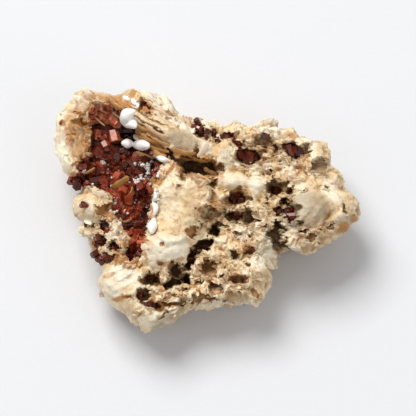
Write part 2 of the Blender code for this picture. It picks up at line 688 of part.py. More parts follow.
def under(grid):
    """All that lies under the middle of a bed, to cut off the crystals' lower ends."""
    held = np.ones((grid[0].shape[0] - 1, grid[0].shape[1] - 1), bool)
    return slab(grid, held, -UNDER_DEPTH, CRUST_GAP + UNDER_SHARE * BED_PROUD)


def leaning(lean, turn):
    """A direction that leans from the eye by some degrees, towards turn in the picture."""
    lean, turn = math.radians(lean), math.radians(turn)
    c, s = math.cos(VIEW_ELEVATION), math.sin(VIEW_ELEVATION)
    flat = np.array([math.cos(turn), -math.sin(turn) * s, -math.sin(turn) * c])
    return eye_direction() * math.cos(lean) + flat * math.sin(lean)


def height_at(grid, u, v):
    """The cover's height at a picture place, from the nearest point of its grid."""
    nearest = np.argmin(np.hypot(grid[0] - u, grid[1] - v))
    return grid[2].ravel()[nearest]


def between(limits, share):
    """A value between two limits."""
    return limits[0] + (limits[1] - limits[0]) * share


def crystal_at(grid, chance, u, v, radius=None, lean=None, turn=None):
    """A red crystal that stands on the bed at a picture place."""
    drawn = chance.random(5)
    if radius is None:
        radius = between(CRYSTAL_RADII, drawn[0] ** SMALLER_MORE)
        lean, turn = between(CRYSTAL_LEANS, drawn[1]), 360.0 * drawn[2]
    length = between(CRYSTAL_LENGTHS, drawn[3] ** SHORTER_MORE)
    height = height_at(grid, u, v) + CRUST_GAP + BED_PROUD + CRYSTAL_RISE * radius * MM
    centre = at_height(np.array([u]), np.array([v]), np.array([height]))[0]
    return prism(centre, leaning(lean, turn), drawn[4], radius * MM, radius * length * MM)


def hollow_crystals(grid, number):
    """The main hollow's large crystals, then others spread evenly over the rest of its floor."""
    chance = np.random.default_rng(5 + number)
    shapes = [crystal_at(grid, chance, *place) for place in NAMED_CRYSTALS]
    taken = [place[:2] for place in NAMED_CRYSTALS]
    low, high = np.min(HOLLOW, axis=0), np.max(HOLLOW, axis=0)
    while len(taken) < HOLLOW_CRYSTALS:
        place = low + (high - low) * chance.random((40, 2))
        depth = inside_depth(place[:, 0], place[:, 1], HOLLOW)
        apart = np.min([np.hypot(*(place - other).T) for other in taken], axis=0)
        best = np.argmax(np.where(depth > CRYSTALS_INSET, apart, -1.0))
        taken.append(tuple(place[best]))
        shapes.append(crystal_at(grid, chance, *place[best]))
    return shapes


def pocket_crystals(grid, pocket, number):
    """A pocket's crystals, the first in its middle and the others round it."""
    name, u, v, along, across, turn, count = pocket
    chance = np.random.default_rng(int(u) + 1000 * number)
    shapes = []
    for k in range(count):
        share = math.sqrt(k / count)
        bearing = SPIRAL_TURN * k + chance.random()
        du = along * POCKET_FILL * share * math.cos(bearing)
        dv = across * POCKET_FILL * share * math.sin(bearing)
        c, s = math.cos(math.radians(turn)), math.sin(math.radians(turn))
        shapes.append(crystal_at(grid, chance, u + du * c - dv * s, v + du * s + dv * c))
    return shapes


def ball(u, v, along, across, turn, height, swell):
    """An oval ball whose middle is height above the floor: its points and faces."""
    shape = bmesh.new()
    bmesh.ops.create_icosphere(shape, subdivisions=2, radius=1.0)
    points = np.array([vertex.co[:] for vertex in shape.verts])
    faces = [[vertex.index for vertex in face.verts] for face in shape.faces]
    shape.free()
    c, s = math.cos(math.radians(turn)), math.sin(math.radians(turn))
    e, f = math.cos(VIEW_ELEVATION), math.sin(VIEW_ELEVATION)
    frame = np.array([[c, -s * f, -s * e], [s, c * f, c * e], [0.0, -e, f]])
    halves = np.array([along, across, 0.5 * (along + across)]) * UNIT + swell
    centre = surface(u, v)[0] + eye_direction() * height * MM
    return centre + (points * halves) @ frame, faces


def nodule_shapes(balls, swell):
    return [ball(*one, swell) for one in balls]


def is_closed(mesh):
    """Whether every edge of a mesh has two faces, all with some area."""
    shape = bmesh.new()
    shape.from_mesh(mesh)
    bmesh.ops.remove_doubles(shape, verts=shape.verts, dist=SLIVER / 20.0)
    closed = all(edge.is_manifold and edge.is_contiguous for edge in shape.edges)
    shape.free()
    return closed


def fused_mesh(name, shapes, cutters, below):
    """The mesh of the shapes joined, less what lies in the cutters. Below cuts all the shapes but
    the first, before they are joined to it."""
    whole = cutter(name + "_first", mesh_of(name + "_first", *shapes[0]))
    more = cutter(name + "_more", mesh_of(name + "_more", *joined(shapes[1:])))
    if below:
        add_boolean(more, below, "DIFFERENCE").use_self = True
    add_boolean(whole, more, "UNION").use_self = True
    for other in cutters:
        add_boolean(whole, other, "DIFFERENCE")
    mesh = baked(whole)
    keep_largest(mesh)
    for helper in (whole, more):
        bpy.data.objects.remove(helper, do_unlink=True)
    return mesh


def fused(name, draw, made_of, cutters, below=None):
    """One solid from shapes that draw gives for a number: the first number whose shapes join
    into a closed surface is kept."""
    for number in range(DRAWS):
        mesh = fused_mesh(name, draw(number), cutters, below)
        if is_closed(mesh):
            break
    mesh.name = name
    return new_object(name, mesh, made_of)


def in_hollow(u, v):
    """Whether picture places lie inside the main hollow, a little way from its edge."""
    return inside_depth(u, v, HOLLOW) > BED_INSET


def in_oval(pocket):
    """Whether picture places lie inside a pocket."""
    def inside(u, v):
        along, across = turned(u, v, pocket[1:3], pocket[5])
        return np.hypot(along / pocket[3], across / pocket[4]) < 1.0
    return inside


def grid_round(low, high, step, margin):
    """The cover over a box of the picture, and a little beyond it."""
    return cover(np.array(low) - margin, np.array(high) + margin, step)


def raised_rock(rock):
    """A copy of the rock, raised by the gap towards the eye, to cut what stands on the rock."""
    mesh = rock.data.copy()
    mesh.transform(Matrix.Translation(eye_direction() * NODULE_GAP))
    return cutter("raised_rock", mesh)


def make_nodules(white, raised):
    for name, balls in NODULES:
        def draw(number):
            return nodule_shapes(balls, 0.0)

        made = fused("white_nodule_" + name, draw, white, [raised])
        made.data.shade_smooth()
        made.modifiers.new("facets", "DECIMATE").ratio = KEPT_NODULE


def make_main_crust(red, raised):
    """The main hollow's crust, clear of the rock and of the white nodules."""
    balls = [shape for name, some in NODULES for shape in nodule_shapes(some, CRUST_GAP)]
    swollen = cutter("swollen_nodules", mesh_of("swollen_nodules", *balls[0]))
    more = cutter("more_nodules", mesh_of("more_nodules", *joined(balls[1:])))
    add_boolean(swollen, more, "UNION").use_self = True
    low, high = np.min(HOLLOW, axis=0), np.max(HOLLOW, axis=0)
    grid = grid_round(low, high, BED_STEP, 2.0 * BED_STEP)
    below = cutter("under_crust", mesh_of("under_crust", *under(grid)))
    floor = bed(grid, in_hollow)

    def draw(number):
        return [floor] + hollow_crystals(grid, number)

    fused("vanadinite_crust", draw, red, [swollen, raised], below)
    for helper in (below, swollen, more):
        bpy.data.objects.remove(helper, do_unlink=True)


def make_pocket_crusts(red, raised):
    for pocket in POCKETS:
        middle, reach = np.array(pocket[1:3]), max(pocket[3:5])
        grid = grid_round(middle - reach, middle + reach, POCKET_STEP, 2.0 * POCKET_STEP)
        below = cutter("under_pocket", mesh_of("under_pocket", *under(grid)))
        floor = bed(grid, in_oval(pocket))

        def draw(number):
            return [floor] + pocket_crystals(grid, pocket, number)

        fused("vanadinite_pocket_" + pocket[0], draw, red, [raised], below)
        bpy.data.objects.remove(below, do_unlink=True)


def main():
    remove_objects()
    stone = material("barite", ROCK_COLOUR, 0.75)
    red = material("vanadinite", CRYSTAL_COLOUR, 0.18)
    white = material("white_nodule", NODULE_COLOUR, 0.55)
    rock = make_rock(stone)
    raised = raised_rock(rock)
    make_nodules(white, raised)
    make_main_crust(red, raised)
    make_pocket_crusts(red, raised)
    bpy.data.objects.remove(raised, do_unlink=True)


main()
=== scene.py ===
# %% [markdown]
# # A vanadinite specimen
# The real object is a lump of cream barite, about 80 mm wide, that water has eaten hollow. Red
# hexagonal crystals of vanadinite line its hollows, and white nodules sit on them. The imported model
# gives the rock's size and place; this script dresses it in finer meshes and in materials.

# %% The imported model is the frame
import math

import bmesh
import bpy
import numpy as np
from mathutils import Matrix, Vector


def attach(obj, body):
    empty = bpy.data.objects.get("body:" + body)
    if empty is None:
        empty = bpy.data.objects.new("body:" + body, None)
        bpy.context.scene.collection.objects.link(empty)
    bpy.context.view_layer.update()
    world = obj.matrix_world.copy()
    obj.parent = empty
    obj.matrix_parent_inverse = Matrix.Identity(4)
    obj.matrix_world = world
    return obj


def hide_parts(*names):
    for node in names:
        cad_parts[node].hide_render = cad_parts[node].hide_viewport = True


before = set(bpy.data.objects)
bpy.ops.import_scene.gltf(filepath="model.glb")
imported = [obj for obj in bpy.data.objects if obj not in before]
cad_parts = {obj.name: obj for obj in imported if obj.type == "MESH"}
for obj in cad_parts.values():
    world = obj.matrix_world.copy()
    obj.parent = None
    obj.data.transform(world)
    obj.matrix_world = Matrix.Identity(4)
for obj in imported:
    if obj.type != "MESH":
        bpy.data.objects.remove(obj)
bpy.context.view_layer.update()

print("packed nodes:", len(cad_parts))

# %% [markdown]
# ## Picture coordinates
# The specimen is looked at from steeply above its front, so its top is easiest to draw as the eye
# sees it: a place is given in picture units, u to the right and v downwards, and a height runs
# towards the eye. One formula turns such a place into the model's own frame, where z is up.

# %% Picture units and the eye
MM = 0.001
WIDTH = 0.080
THICKNESS = 0.0235
PICTURE = 416
PICTURE_WIDTH = 308.5
UNIT = WIDTH / PICTURE_WIDTH
VIEW_ELEVATION = math.radians(68.0)
EYE_CENTRE = (208.0, 209.0)
BOX_SHIFT = np.array([0.0005, -0.0039, 0.0])
SINE, COSINE = math.sin(VIEW_ELEVATION), math.cos(VIEW_ELEVATION)
EYE = np.array([0.0, -COSINE, SINE])


def to_row(u, v, height):
    """Picture place and height in metres to the model's frame: x is right, the picture's up lies
    along (0, sin e, cos e) and the height along (0, -cos e, sin e), with e the eye's elevation."""
    right = (u - EYE_CENTRE[0]) * UNIT
    up = (EYE_CENTRE[1] - v) * UNIT
    base = THICKNESS * SINE
    forward, upward = up * SINE - height * COSINE, up * COSINE + height * SINE + base
    return np.stack([right, forward, upward], axis=-1) + BOX_SHIFT


print("one picture unit is", round(UNIT / MM, 4), "mm")

# %% [markdown]
# ## Camera, floor and light
# The photograph was taken from far enough away to look almost flat, so the camera has a long lens.
# Its distance follows from the lens, so that one picture unit is one pixel at the rock's middle.
# The rock is lit from behind and from the left: its front faces and the upper walls of its pits are
# in shade, as they are in the photograph. A pale world fills the shadows.

# %% Camera
LENS = 500.0
SENSOR = 36.0


def make_camera():
    """A long lens on the line of sight, so far off that the picture is PICTURE units wide."""
    data = bpy.data.cameras.new("camera")
    data.lens = LENS
    data.sensor_width = SENSOR
    camera = bpy.data.objects.new("camera", data)
    distance = PICTURE * UNIT * LENS / SENSOR
    camera.location = to_row(PICTURE / 2.0, PICTURE / 2.0, 0.0) + EYE * distance
    camera.rotation_euler = (math.pi / 2.0 - VIEW_ELEVATION, 0.0, 0.0)
    bpy.context.scene.collection.objects.link(camera)
    bpy.context.scene.camera = camera
    return distance


print("camera stands", round(make_camera(), 3), "m away")

# %% Floor and lights
FLOOR_SIDE = 3.0
KEY_PLACE = (-0.72, 0.98, 2.00)
KEY_SIZE = 1.25
KEY_POWER = 49.0
KEY_COLOUR = (1.0, 0.975, 0.93)
FILL_PLACE = (1.3, -1.2, 1.6)
FILL_SIZE = 1.4
FILL_POWER = 4.0
FILL_COLOUR = (1.0, 1.0, 1.0)
WORLD_COLOUR = (1.0, 0.99, 0.975)
WORLD_LIGHT = 0.46


def make_light(name, place, size, power, colour):
    """A square light that looks at the rock."""
    data = bpy.data.lights.new(name, "AREA")
    data.size = size
    data.energy = power
    data.color = colour
    light = bpy.data.objects.new(name, data)
    light.location = place
    light.rotation_euler = Vector(place).to_track_quat("Z", "Y").to_euler()
    bpy.context.scene.collection.objects.link(light)


def make_world():
    """An even pale light from every side."""
    world = bpy.data.worlds.new("pale_world")
    world.use_nodes = True
    background = world.node_tree.nodes["Background"]
    background.inputs["Color"].default_value = (*WORLD_COLOUR, 1.0)
    background.inputs["Strength"].default_value = WORLD_LIGHT
    bpy.context.scene.world = world


def make_floor():
    """One large square under the rock."""
    half = FLOOR_SIDE / 2.0
    corners = [(-half, -half, 0), (half, -half, 0), (half, half, 0), (-half, half, 0)]
    mesh = bpy.data.meshes.new("floor")
    mesh.from_pydata(corners, [], [(0, 1, 2, 3)])
    floor = bpy.data.objects.new("floor", mesh)
    bpy.context.scene.collection.objects.link(floor)
    return floor


make_light("key", KEY_PLACE, KEY_SIZE, KEY_POWER, KEY_COLOUR)
make_light("fill", FILL_PLACE, FILL_SIZE, FILL_POWER, FILL_COLOUR)
make_world()
floor = make_floor()
bpy.context.scene.view_settings.view_transform = "Standard"
print("lights: a key behind on the left, a wide fill in front")

# %% [markdown]
# ## Shader maths as expressions
# A material is a web of nodes, and sums in it are easier to read as Python. A Wire stands for one
# output; adding or multiplying Wires adds Math nodes. A Finish holds one material's nodes.

# %% Wires and finishes
class Wire:
    """An output of a node. The usual operators add Math nodes, also with a plain number first."""

    def __init__(self, finish, socket):
        self.finish = finish
        self.socket = socket

    def math(self, operation, first, second=0.0, clamp=False):
        """A Math node on two numbers, Wires or plain."""
        settings = {"operation": operation, "use_clamp": clamp}
        return self.finish.add("ShaderNodeMath", settings, {0: first, 1: second})

    def __add__(self, other):
        return self.math("ADD", self, other)

    def __sub__(self, other):
        return self.math("SUBTRACT", self, other)

    def __rsub__(self, other):
        return self.math("SUBTRACT", other, self)

    def __mul__(self, other):
        return self.math("MULTIPLY", self, other)

    __radd__ = __add__
    __rmul__ = __mul__

    def size(self):
        """The number without its sign."""
        return self.math("ABSOLUTE", self)

    def clipped(self):
        """The same number, kept between 0 and 1."""
        return self.math("ADD", self, 0.0, clamp=True)

    def step(self, low, high):
        """0 below low and 1 above high, with a straight rise between."""
        return ((self - low) * (1.0 / (high - low))).clipped()


class Finish:
    """One material and its nodes."""

    def __init__(self, name):
        self.material = bpy.data.materials.new(name)
        self.material.use_nodes = True
        self.tree = self.material.node_tree
        self.shader = self.tree.nodes["Principled BSDF"]

    def add(self, kind, settings, inputs, output=0):
        """Adds a node, sets it, then fills its sockets with numbers, colours or Wires."""
        node = self.tree.nodes.new(kind)
        for name, value in settings.items():
            if name == "stops":
                self.set_stops(node.color_ramp, value)
            else:
                setattr(node, name, value)
        for name, value in inputs.items():
            self.fill(node.inputs[name], value)
        return Wire(self, node.outputs[output])

    def set_stops(self, ramp, stops):
        """Gives a colour ramp its stops, each a place from 0 to 1 and a colour."""
        while len(ramp.elements) < len(stops):
            ramp.elements.new(0.5)
        for element, (place, colour) in zip(ramp.elements, stops):
            element.position = place
            element.color = (*colour, 1.0)

    def fill(self, socket, value):
        """Links a Wire to a socket, or gives the socket a plain value."""
        if isinstance(value, Wire):
            self.tree.links.new(value.socket, socket)
        elif isinstance(value, tuple) and len(value) == 3 and socket.type == "RGBA":
            socket.default_value = (*value, 1.0)
        else:
            socket.default_value = value

    def place(self):
        """The point's place on the piece."""
        return self.add("ShaderNodeTexCoord", {}, {}, "Object")

    def field(self, name):
        """A number that the mesh keeps at each point."""
        return self.add("ShaderNodeAttribute", {"attribute_name": name}, {}, "Fac")

    def noise(self, where, scale, detail=4.0, rough=0.55):
        """Soft noise round 0.5, scale times a metre."""
        inputs = {"Vector": where, "Scale": scale, "Detail": detail, "Roughness": rough}
        return self.add("ShaderNodeTexNoise", {"noise_dimensions": "3D"}, inputs, 0)

    def stretched(self, where, scale, turn):
        """Coordinates stretched and turned, for streaks."""
        return self.add("ShaderNodeMapping", {"vector_type": "POINT"},
                        {"Vector": where, "Rotation": turn, "Scale": scale})

    def mix(self, first, second, share):
        """A colour between two others: the first where share is 0, the second where it is 1."""
        settings = {"data_type": "RGBA"}
        return self.add("ShaderNodeMix", settings, {0: share, 6: first, 7: second}, 2)

    def bump(self, height, distance, strength=1.0, normal=None):
        """A normal that shows small relief, distance in metres."""
        inputs = {"Height": height, "Distance": distance, "Strength": strength}
        if normal is not None:
            inputs["Normal"] = normal
        return self.add("ShaderNodeBump", {}, inputs)

    def shade(self, **inputs):
        """Fills the shader's own sockets and hands back the material."""
        for name, value in inputs.items():
            self.fill(self.shader.inputs[name.replace("_", " ").title().replace("Ior", "IOR")], value)
        return self.material


# %% Floor finish
def floor_finish():
    """Matt paper, almost white, with a hardly visible tooth."""
    paper = Finish("pale_paper")
    tooth = paper.noise(paper.place(), 900.0)
    colour = paper.mix((0.731, 0.753, 0.80), (0.760, 0.782, 0.83), tooth)
    return paper.shade(base_color=colour, roughness=0.9, normal=paper.bump(tooth, 0.00002))


floor.data.materials.append(floor_finish())
print("floor:", floor.data.materials[0].name)

# %% [markdown]
# ## Noise made of crystals
# Barite grows as blocks and blades with flat faces, so its rough surface isn't soft noise. Here
# space is cut into cubes, every cube holds one leaning block, and the highest block at a point
# gives the height there. Several sizes of it added together read as broken, crystalline rock.

# %% Noise
def smooth_step(x):
    """0 below 0 and 1 above 1, with an S-shaped rise x^2 (3 - 2x) between."""
    x = np.clip(x, 0.0, 1.0)
    return x * x * (3.0 - 2.0 * x)


def spread(a, b, c, seed):
    """An even spread from 0 to 1, fixed for each set of whole numbers."""
    mixed = (a * 374761393 + b * 668265263 + c * 1440662683 + seed * 362437) & 0xFFFFFFFF
    mixed = ((mixed ^ (mixed >> 13)) * 1274126177) & 0xFFFFFFFF
    mixed = ((mixed ^ (mixed >> 16)) * 668265263) & 0xFFFFFFFF
    return (mixed ^ (mixed >> 15)) / 4294967296.0


def soft_noise(points, seed):
    """Smooth noise from -1 to 1: the corners of a unit lattice, blended along each axis."""
    low = np.floor(points).astype(np.int64)
    part = smooth_step(points - low)
    total = np.zeros(len(points))
    for corner in np.ndindex(2, 2, 2):
        weight = np.prod(np.where(corner, part, 1.0 - part), axis=1)
        total += weight * spread(*(low + corner).T, seed)
    return 2.0 * total - 1.0


def crystal_blocks(points, seed):
    """The highest of the leaning blocks near each point, -1 to 1. A block's faces fall away from its
    middle at 1.5 on its steep side, 0.7 on its gentle side and 1.15 across."""
    low = np.floor(points).astype(np.int64)
    highest = np.full(len(points), -1.0)
    for step in np.ndindex(3, 3, 3):
        cell = low + np.array(step) - 1
        middle = cell + np.stack([spread(*cell.T, seed + k) for k in range(3)], axis=1)
        lean = np.stack([spread(*cell.T, seed + 3 + k) for k in range(3)], axis=1) * 2.0 - 1.0
        lean /= np.linalg.norm(lean, axis=1)[:, None] + 1e-9
        away = points - middle
        along = np.einsum("ij,ij->i", away, lean)
        side = np.linalg.norm(away - along[:, None] * lean, axis=1)
        height = 0.9 - 0.5 * spread(*cell.T, seed + 6)
        face = np.maximum(1.5 * along, -0.7 * along)
        highest = np.maximum(highest, height - np.maximum(face, 1.15 * side))
    return highest


def pores(points, seed):
    """Small round holes, 1 in their middle and 0 outside: one hole of its own size in each cube."""
    low = np.floor(points).astype(np.int64)
    deepest = np.zeros(len(points))
    for step in np.ndindex(3, 3, 3):
        cell = low + np.array(step) - 1
        middle = cell + np.stack([spread(*cell.T, seed + k) for k in range(3)], axis=1)
        size = 0.18 + 0.34 * spread(*cell.T, seed + 3) ** 2
        away = np.linalg.norm(points - middle, axis=1)
        deepest = np.maximum(deepest, smooth_step(1.25 * (1.0 - away / size)))
    return deepest


def picture_noise(u, v, size, seed):
    """Soft noise over the picture, -1 to 1, with lumps about size units across."""
    flat = np.stack([u / size, v / size, 0.0 * u], axis=-1).reshape(-1, 3)
    return soft_noise(flat, seed).reshape(np.shape(u))


print("blocks:", crystal_blocks(np.zeros((1, 3)) + 0.5, 1).round(3))

# %% [markdown]
# ## The rock's features
# Everything that a person would recognise on this rock is listed: its outline, the lumps and
# the central peak, the holes, the clefts, the main hollow, and the patches where it is smooth, where
# thin layers show, or where iron has stained it. The surface is the sum of these shapes.

# %% Outline, lumps and holes
HUB = (200.0, 205.0)
OUTLINE = (
    (54, 145), (52.5, 118), (56, 110), (61, 103.5), (67, 96), (71, 89), (79, 86.5), (87, 88.5),
    (97, 90), (105, 89), (111, 93), (120, 92), (126, 88.5), (132, 86), (141, 88), (151, 90.5),
    (161, 93), (170, 97.5), (173, 104), (176, 109), (184, 114), (191, 118), (200, 120), (208, 120),
    (216, 121.5), (221, 124), (231, 120), (236, 117.5), (244, 120.5), (253, 123), (260, 119.5),
    (269, 117), (276, 120), (282, 123), (288, 125), (298, 126), (306, 131), (312, 137), (326.5, 143),
    (332, 148.5), (333, 156), (334, 163), (343, 171), (347, 178), (351, 190), (357, 195), (365, 205),
    (365.5, 211.5), (361, 217), (353, 224), (349, 231), (345, 235.5), (339.5, 238.5), (335, 243),
    (329, 246.5), (321, 250), (313.5, 254.5), (304.5, 255.5), (292, 250.5), (287, 251), (280, 257),
    (276, 264), (272, 272), (274, 279), (272.5, 286), (264, 297), (263.5, 301), (256.5, 308),
    (243.5, 305), (235, 306), (224, 308), (215, 311), (205, 312), (192, 312), (180, 316), (174, 323.5),
    (164, 326.5), (154, 331), (139.5, 332), (132, 327), (124, 319), (116.5, 312), (110, 307),
    (105, 302), (100.5, 294.5), (97.5, 287), (97, 280.5), (102, 273), (101.5, 266.5), (99.5, 262),
    (92, 256), (89.5, 249), (87.5, 243), (86, 237.5), (81, 237), (76, 231.5), (80.5, 224), (76, 220),
    (71.5, 216), (72, 200), (81, 193), (82, 187.5), (84.5, 183.5), (76, 185), (72.5, 183), (70, 179),
    (65, 175), (60, 168), (55, 154),
)

# Lumps: u, v, half width along and across, turn in degrees, height in millimetres
LUMPS = (
    (68, 128, 15, 34, 0, 1.6), (96, 90, 26, 13, 0, 1.4), (152, 122, 40, 23, 38, 2.4),
    (190, 142, 30, 15, 25, 1.6), (228, 152, 22, 20, 0, 1.4), (262, 128, 30, 14, 10, 1.0),
    (300, 136, 26, 16, 30, 1.0), (166, 246, 36, 24, -8, 3.6), (122, 288, 40, 34, 25, 2.6),
    (88, 208, 20, 20, 0, 1.6), (231, 181, 24, 11, 4, 2.0), (256, 186, 11, 15, 0, 1.6),
    (214, 198, 20, 18, 0, 1.0), (254, 270, 20, 15, 20, 1.6), (224, 240, 34, 20, 0, 0.8),
    (310, 208, 30, 24, -10, 2.6), (338, 202, 13, 22, -25, 1.4), (322, 182, 18, 16, 0, 1.0),
    (262, 238, 16, 20, 0, 1.2), (205, 296, 60, 14, -3, 1.0), (110, 232, 17, 17, 0, 1.4),
    (150, 318, 32, 16, -10, 1.2), (344, 222, 16, 16, 0, 0.6), (118, 158, 22, 26, 10, 0.8),
)

# The central peak: its edge, its height in millimetres, the width of its wall in units, and the
# rows of the picture over which it fades
PEAK_EDGE = (
    (175, 164), (180, 168), (186, 171), (193, 171), (202, 175), (211, 186), (210, 206), (200, 226),
    (184, 240), (166, 244), (156, 236), (156, 212), (155, 190), (162, 181), (168, 172),
)
PEAK_HEIGHT = 5.4
PEAK_WALL = 4.6
PEAK_ROWS = (168.0, 246.0)

# Holes: u, v, half width along and across, turn in degrees, depth in millimetres
PITS = (
    (236, 198, 12, 8, -5, 5.0), (233, 215, 9, 7, 0, 7.5), (248, 216, 9, 7.5, 0, 6.5),
    (214.5, 228, 7, 7.5, 0, 8.0), (208, 213, 11, 7, 0, 3.0), (207, 267, 9.5, 8, 0, 6.0),
    (232, 253, 6, 4.5, 0, 4.0), (248.5, 251, 7, 5, 0, 4.0), (237, 279, 8.5, 6, 0, 5.0),
    (215, 288, 8, 6, 0, 4.5), (234, 300, 10, 5.5, 0, 3.5), (175, 270, 8, 7, 30, 8.0),
    (150, 279, 10, 7.5, 0, 7.0), (142, 295, 8, 6.5, 0, 5.5), (154, 306, 8, 4, 5, 3.5),
    (191, 231, 6, 7, 0, 2.0), (200, 130, 7.5, 6, 20, 4.5), (215.5, 130, 4, 6, 0, 4.0),
    (229, 132, 8, 5.5, 10, 3.0), (239, 143, 9, 5.5, 35, 3.0), (248, 156, 15, 9.5, 8, 4.5),
    (265, 139, 11, 8.5, 0, 3.5), (294, 149, 12, 11.5, 0, 5.0), (275.5, 147, 5.5, 6.5, 0, 4.5),
    (307, 146.5, 6.5, 7, 0, 4.5), (270, 170.5, 4, 3.2, 0, 2.5), (323, 165, 9, 8.5, 0, 3.5),
    (274.5, 187, 11, 8.5, 0, 6.5), (289.5, 191, 4.5, 5, 0, 3.0), (285, 202, 6, 6, 0, 4.0),
    (278, 210, 6, 4.5, 0, 4.0), (291, 212, 7, 9.5, 0, 5.0), (278, 225, 7, 5, 0, 6.5),
    (314.5, 236, 7, 5, 0, 2.0), (197, 166.5, 22, 11, 8, 8.5), (210.5, 182, 5, 4, 0, 3.5),
    (101.5, 225.5, 8, 8.5, 0, 4.0), (111, 248, 9, 6, 0, 4.0), (95, 243, 5.5, 8.5, 15, 3.2),
    (104, 259, 11, 5, 0, 2.8), (106.5, 210.5, 12.5, 7.5, -10, 2.0), (78, 122, 6, 4.5, 0, 1.6),
    (87, 167, 9.5, 6, 20, 2.2), (143, 102, 6, 5, 40, 1.8),
)

# Clefts: half width, depth in millimetres, then the points along the floor
CLEFTS = (
    (4.5, 8.0, ((209, 240), (199, 246), (194, 254), (184, 264))),
    (5.5, 8.0, ((188, 278), (178, 276), (164, 284))),
    (6.0, 6.5, ((278, 223), (272, 232), (277, 243), (284, 258))),
    (2.6, 3.2, ((192, 300), (201, 296), (212, 299))),
    (2.4, 2.6, ((228, 302), (237, 300), (246, 303))),
    (2.4, 2.8, ((160, 300), (170, 305), (181, 301))),
    (2.0, 2.0, ((176, 314), (187, 307), (199, 307))),
    (3.2, 6.0, ((166, 152), (178, 158), (190, 160), (204, 166), (214, 172))),
)

# The main hollow: its edge, its depth in millimetres, two deeper pools, and the width of its wall
# in units
HOLLOW = (
    (88, 97), (102, 97), (114, 102), (125, 112), (138, 130), (150, 147), (163, 158), (161, 176),
    (155, 192), (151, 212), (147, 235), (146, 252), (140, 264), (127, 266), (122, 254), (127, 243),
    (121, 228), (113, 213), (110, 199), (99, 191), (86, 187), (70, 186), (66, 178), (75, 163),
    (85, 150), (88, 136), (85, 118),
)
HOLLOW_DEPTH = 5.6
HOLLOW_POOLS = ((126, 142, 24, 28, 0, 3.4), (138, 214, 16, 34, 8, 1.4))
HOLLOW_WALL = 9.0
print(len(OUTLINE), "outline points,", len(PITS), "holes,", len(LUMPS), "lumps")

# %% Fine holes, layers, smooth patches and stains
# Small holes: u, v, half width along and across, turn in degrees, depth in millimetres
FINE_PITS = (
    (280, 162, 3.2, 2.4, 0, 1.6), (187, 118.5, 3.4, 2.4, 20, 1.2), (260, 165, 5, 3, 30, 1.2),
    (267, 203, 3, 3, 0, 1.6), (222, 131, 3, 4, 0, 1.2), (303, 190, 3, 2, 0, 0.8),
    (219, 264, 3.5, 3, 0, 1.4), (226, 266, 3, 3.5, 0, 1.2), (198, 281, 4, 3, -20, 1.6),
    (256, 295, 5, 3, 30, 1.6), (186, 300, 4, 2.4, 0, 1.0), (330, 187, 3, 3, 0, 1.0),
    (352, 218, 5, 4, 0, 1.0), (303, 231, 5, 2.5, -20, 1.2), (321, 230, 3, 2.5, 0, 1.2),
    (89, 226, 4.2, 3.4, -30, 2.0), (98, 99, 3, 2, 0, 0.8), (60, 122, 3, 2.6, 0, 1.0),
    (67, 108, 3, 2, 0, 1.0), (71, 131, 3, 3, 0, 0.9), (66, 158, 5, 3, 60, 0.9),
    (158, 131, 7, 2.4, 35, 1.6), (148, 112, 5, 3, 40, 1.2), (162, 244, 1.8, 1.4, 0, 0.9),
    (178, 186, 4, 2, 60, 0.7), (224, 226, 4, 3, 0, 1.6), (236, 233, 4, 3, 0, 1.4),
    (250, 236, 4, 3.4, 0, 1.6), (246, 264, 4, 3, 0, 1.0), (222, 276, 3.4, 2.6, 0, 1.4),
    (202, 254, 4, 3, 0, 1.8), (160, 262, 5, 3, 0, 1.2), (132, 262, 4, 3, 0, 1.0),
    (168, 296, 6, 4, -20, 2.0), (184, 290, 6, 4, 0, 2.4), (136, 317, 7, 2.4, -38, 1.2),
    (163, 314, 7, 2.4, -24, 1.4), (190, 304, 7, 2.0, -10, 1.3), (213, 303, 6, 2.0, 0, 1.3),
    (244, 299, 6, 3.0, -20, 1.6), (176, 317, 4, 2.0, -30, 1.2), (112, 300, 6, 1.8, 40, 0.9),
    (126, 296, 8, 1.8, 14, 0.9), (334, 226, 5, 2.4, -50, 1.4), (346, 208, 6, 2.2, 70, 1.2),
    (300, 222, 5, 2.4, -30, 1.2), (266, 226, 4, 2.6, 0, 1.4),
)

# Thin layers: u, v, half width along and across, turn, the layers' spacing in units, their height
# in millimetres
LAYERS = (
    (148, 106, 34, 20, 38, 7.4, 1.2), (148, 134, 20, 13, 36, 4.6, 1.0), (70, 138, 40, 20, 82, 6.4, 0.6),
    (88, 167, 14, 9, 20, 3.6, 0.6), (124, 288, 38, 30, -16, 8.5, 0.55),
    (227, 158, 17, 13, 100, 3.4, 0.3), (254, 270, 18, 13, 58, 4.2, 0.4),
    (312, 208, 26, 20, -38, 9.0, 0.22), (340, 204, 22, 12, 62, 5.5, 0.35),
    (205, 302, 60, 12, -4, 5.6, 1.0), (96, 96, 20, 9, 24, 4.4, 0.6), (232, 181, 24, 9, 12, 6.0, 0.16),
    (270, 127, 26, 9, 12, 4.6, 0.5), (180, 212, 34, 18, 64, 9.0, 0.25),
    (150, 320, 30, 14, -12, 5.6, 0.7),
)

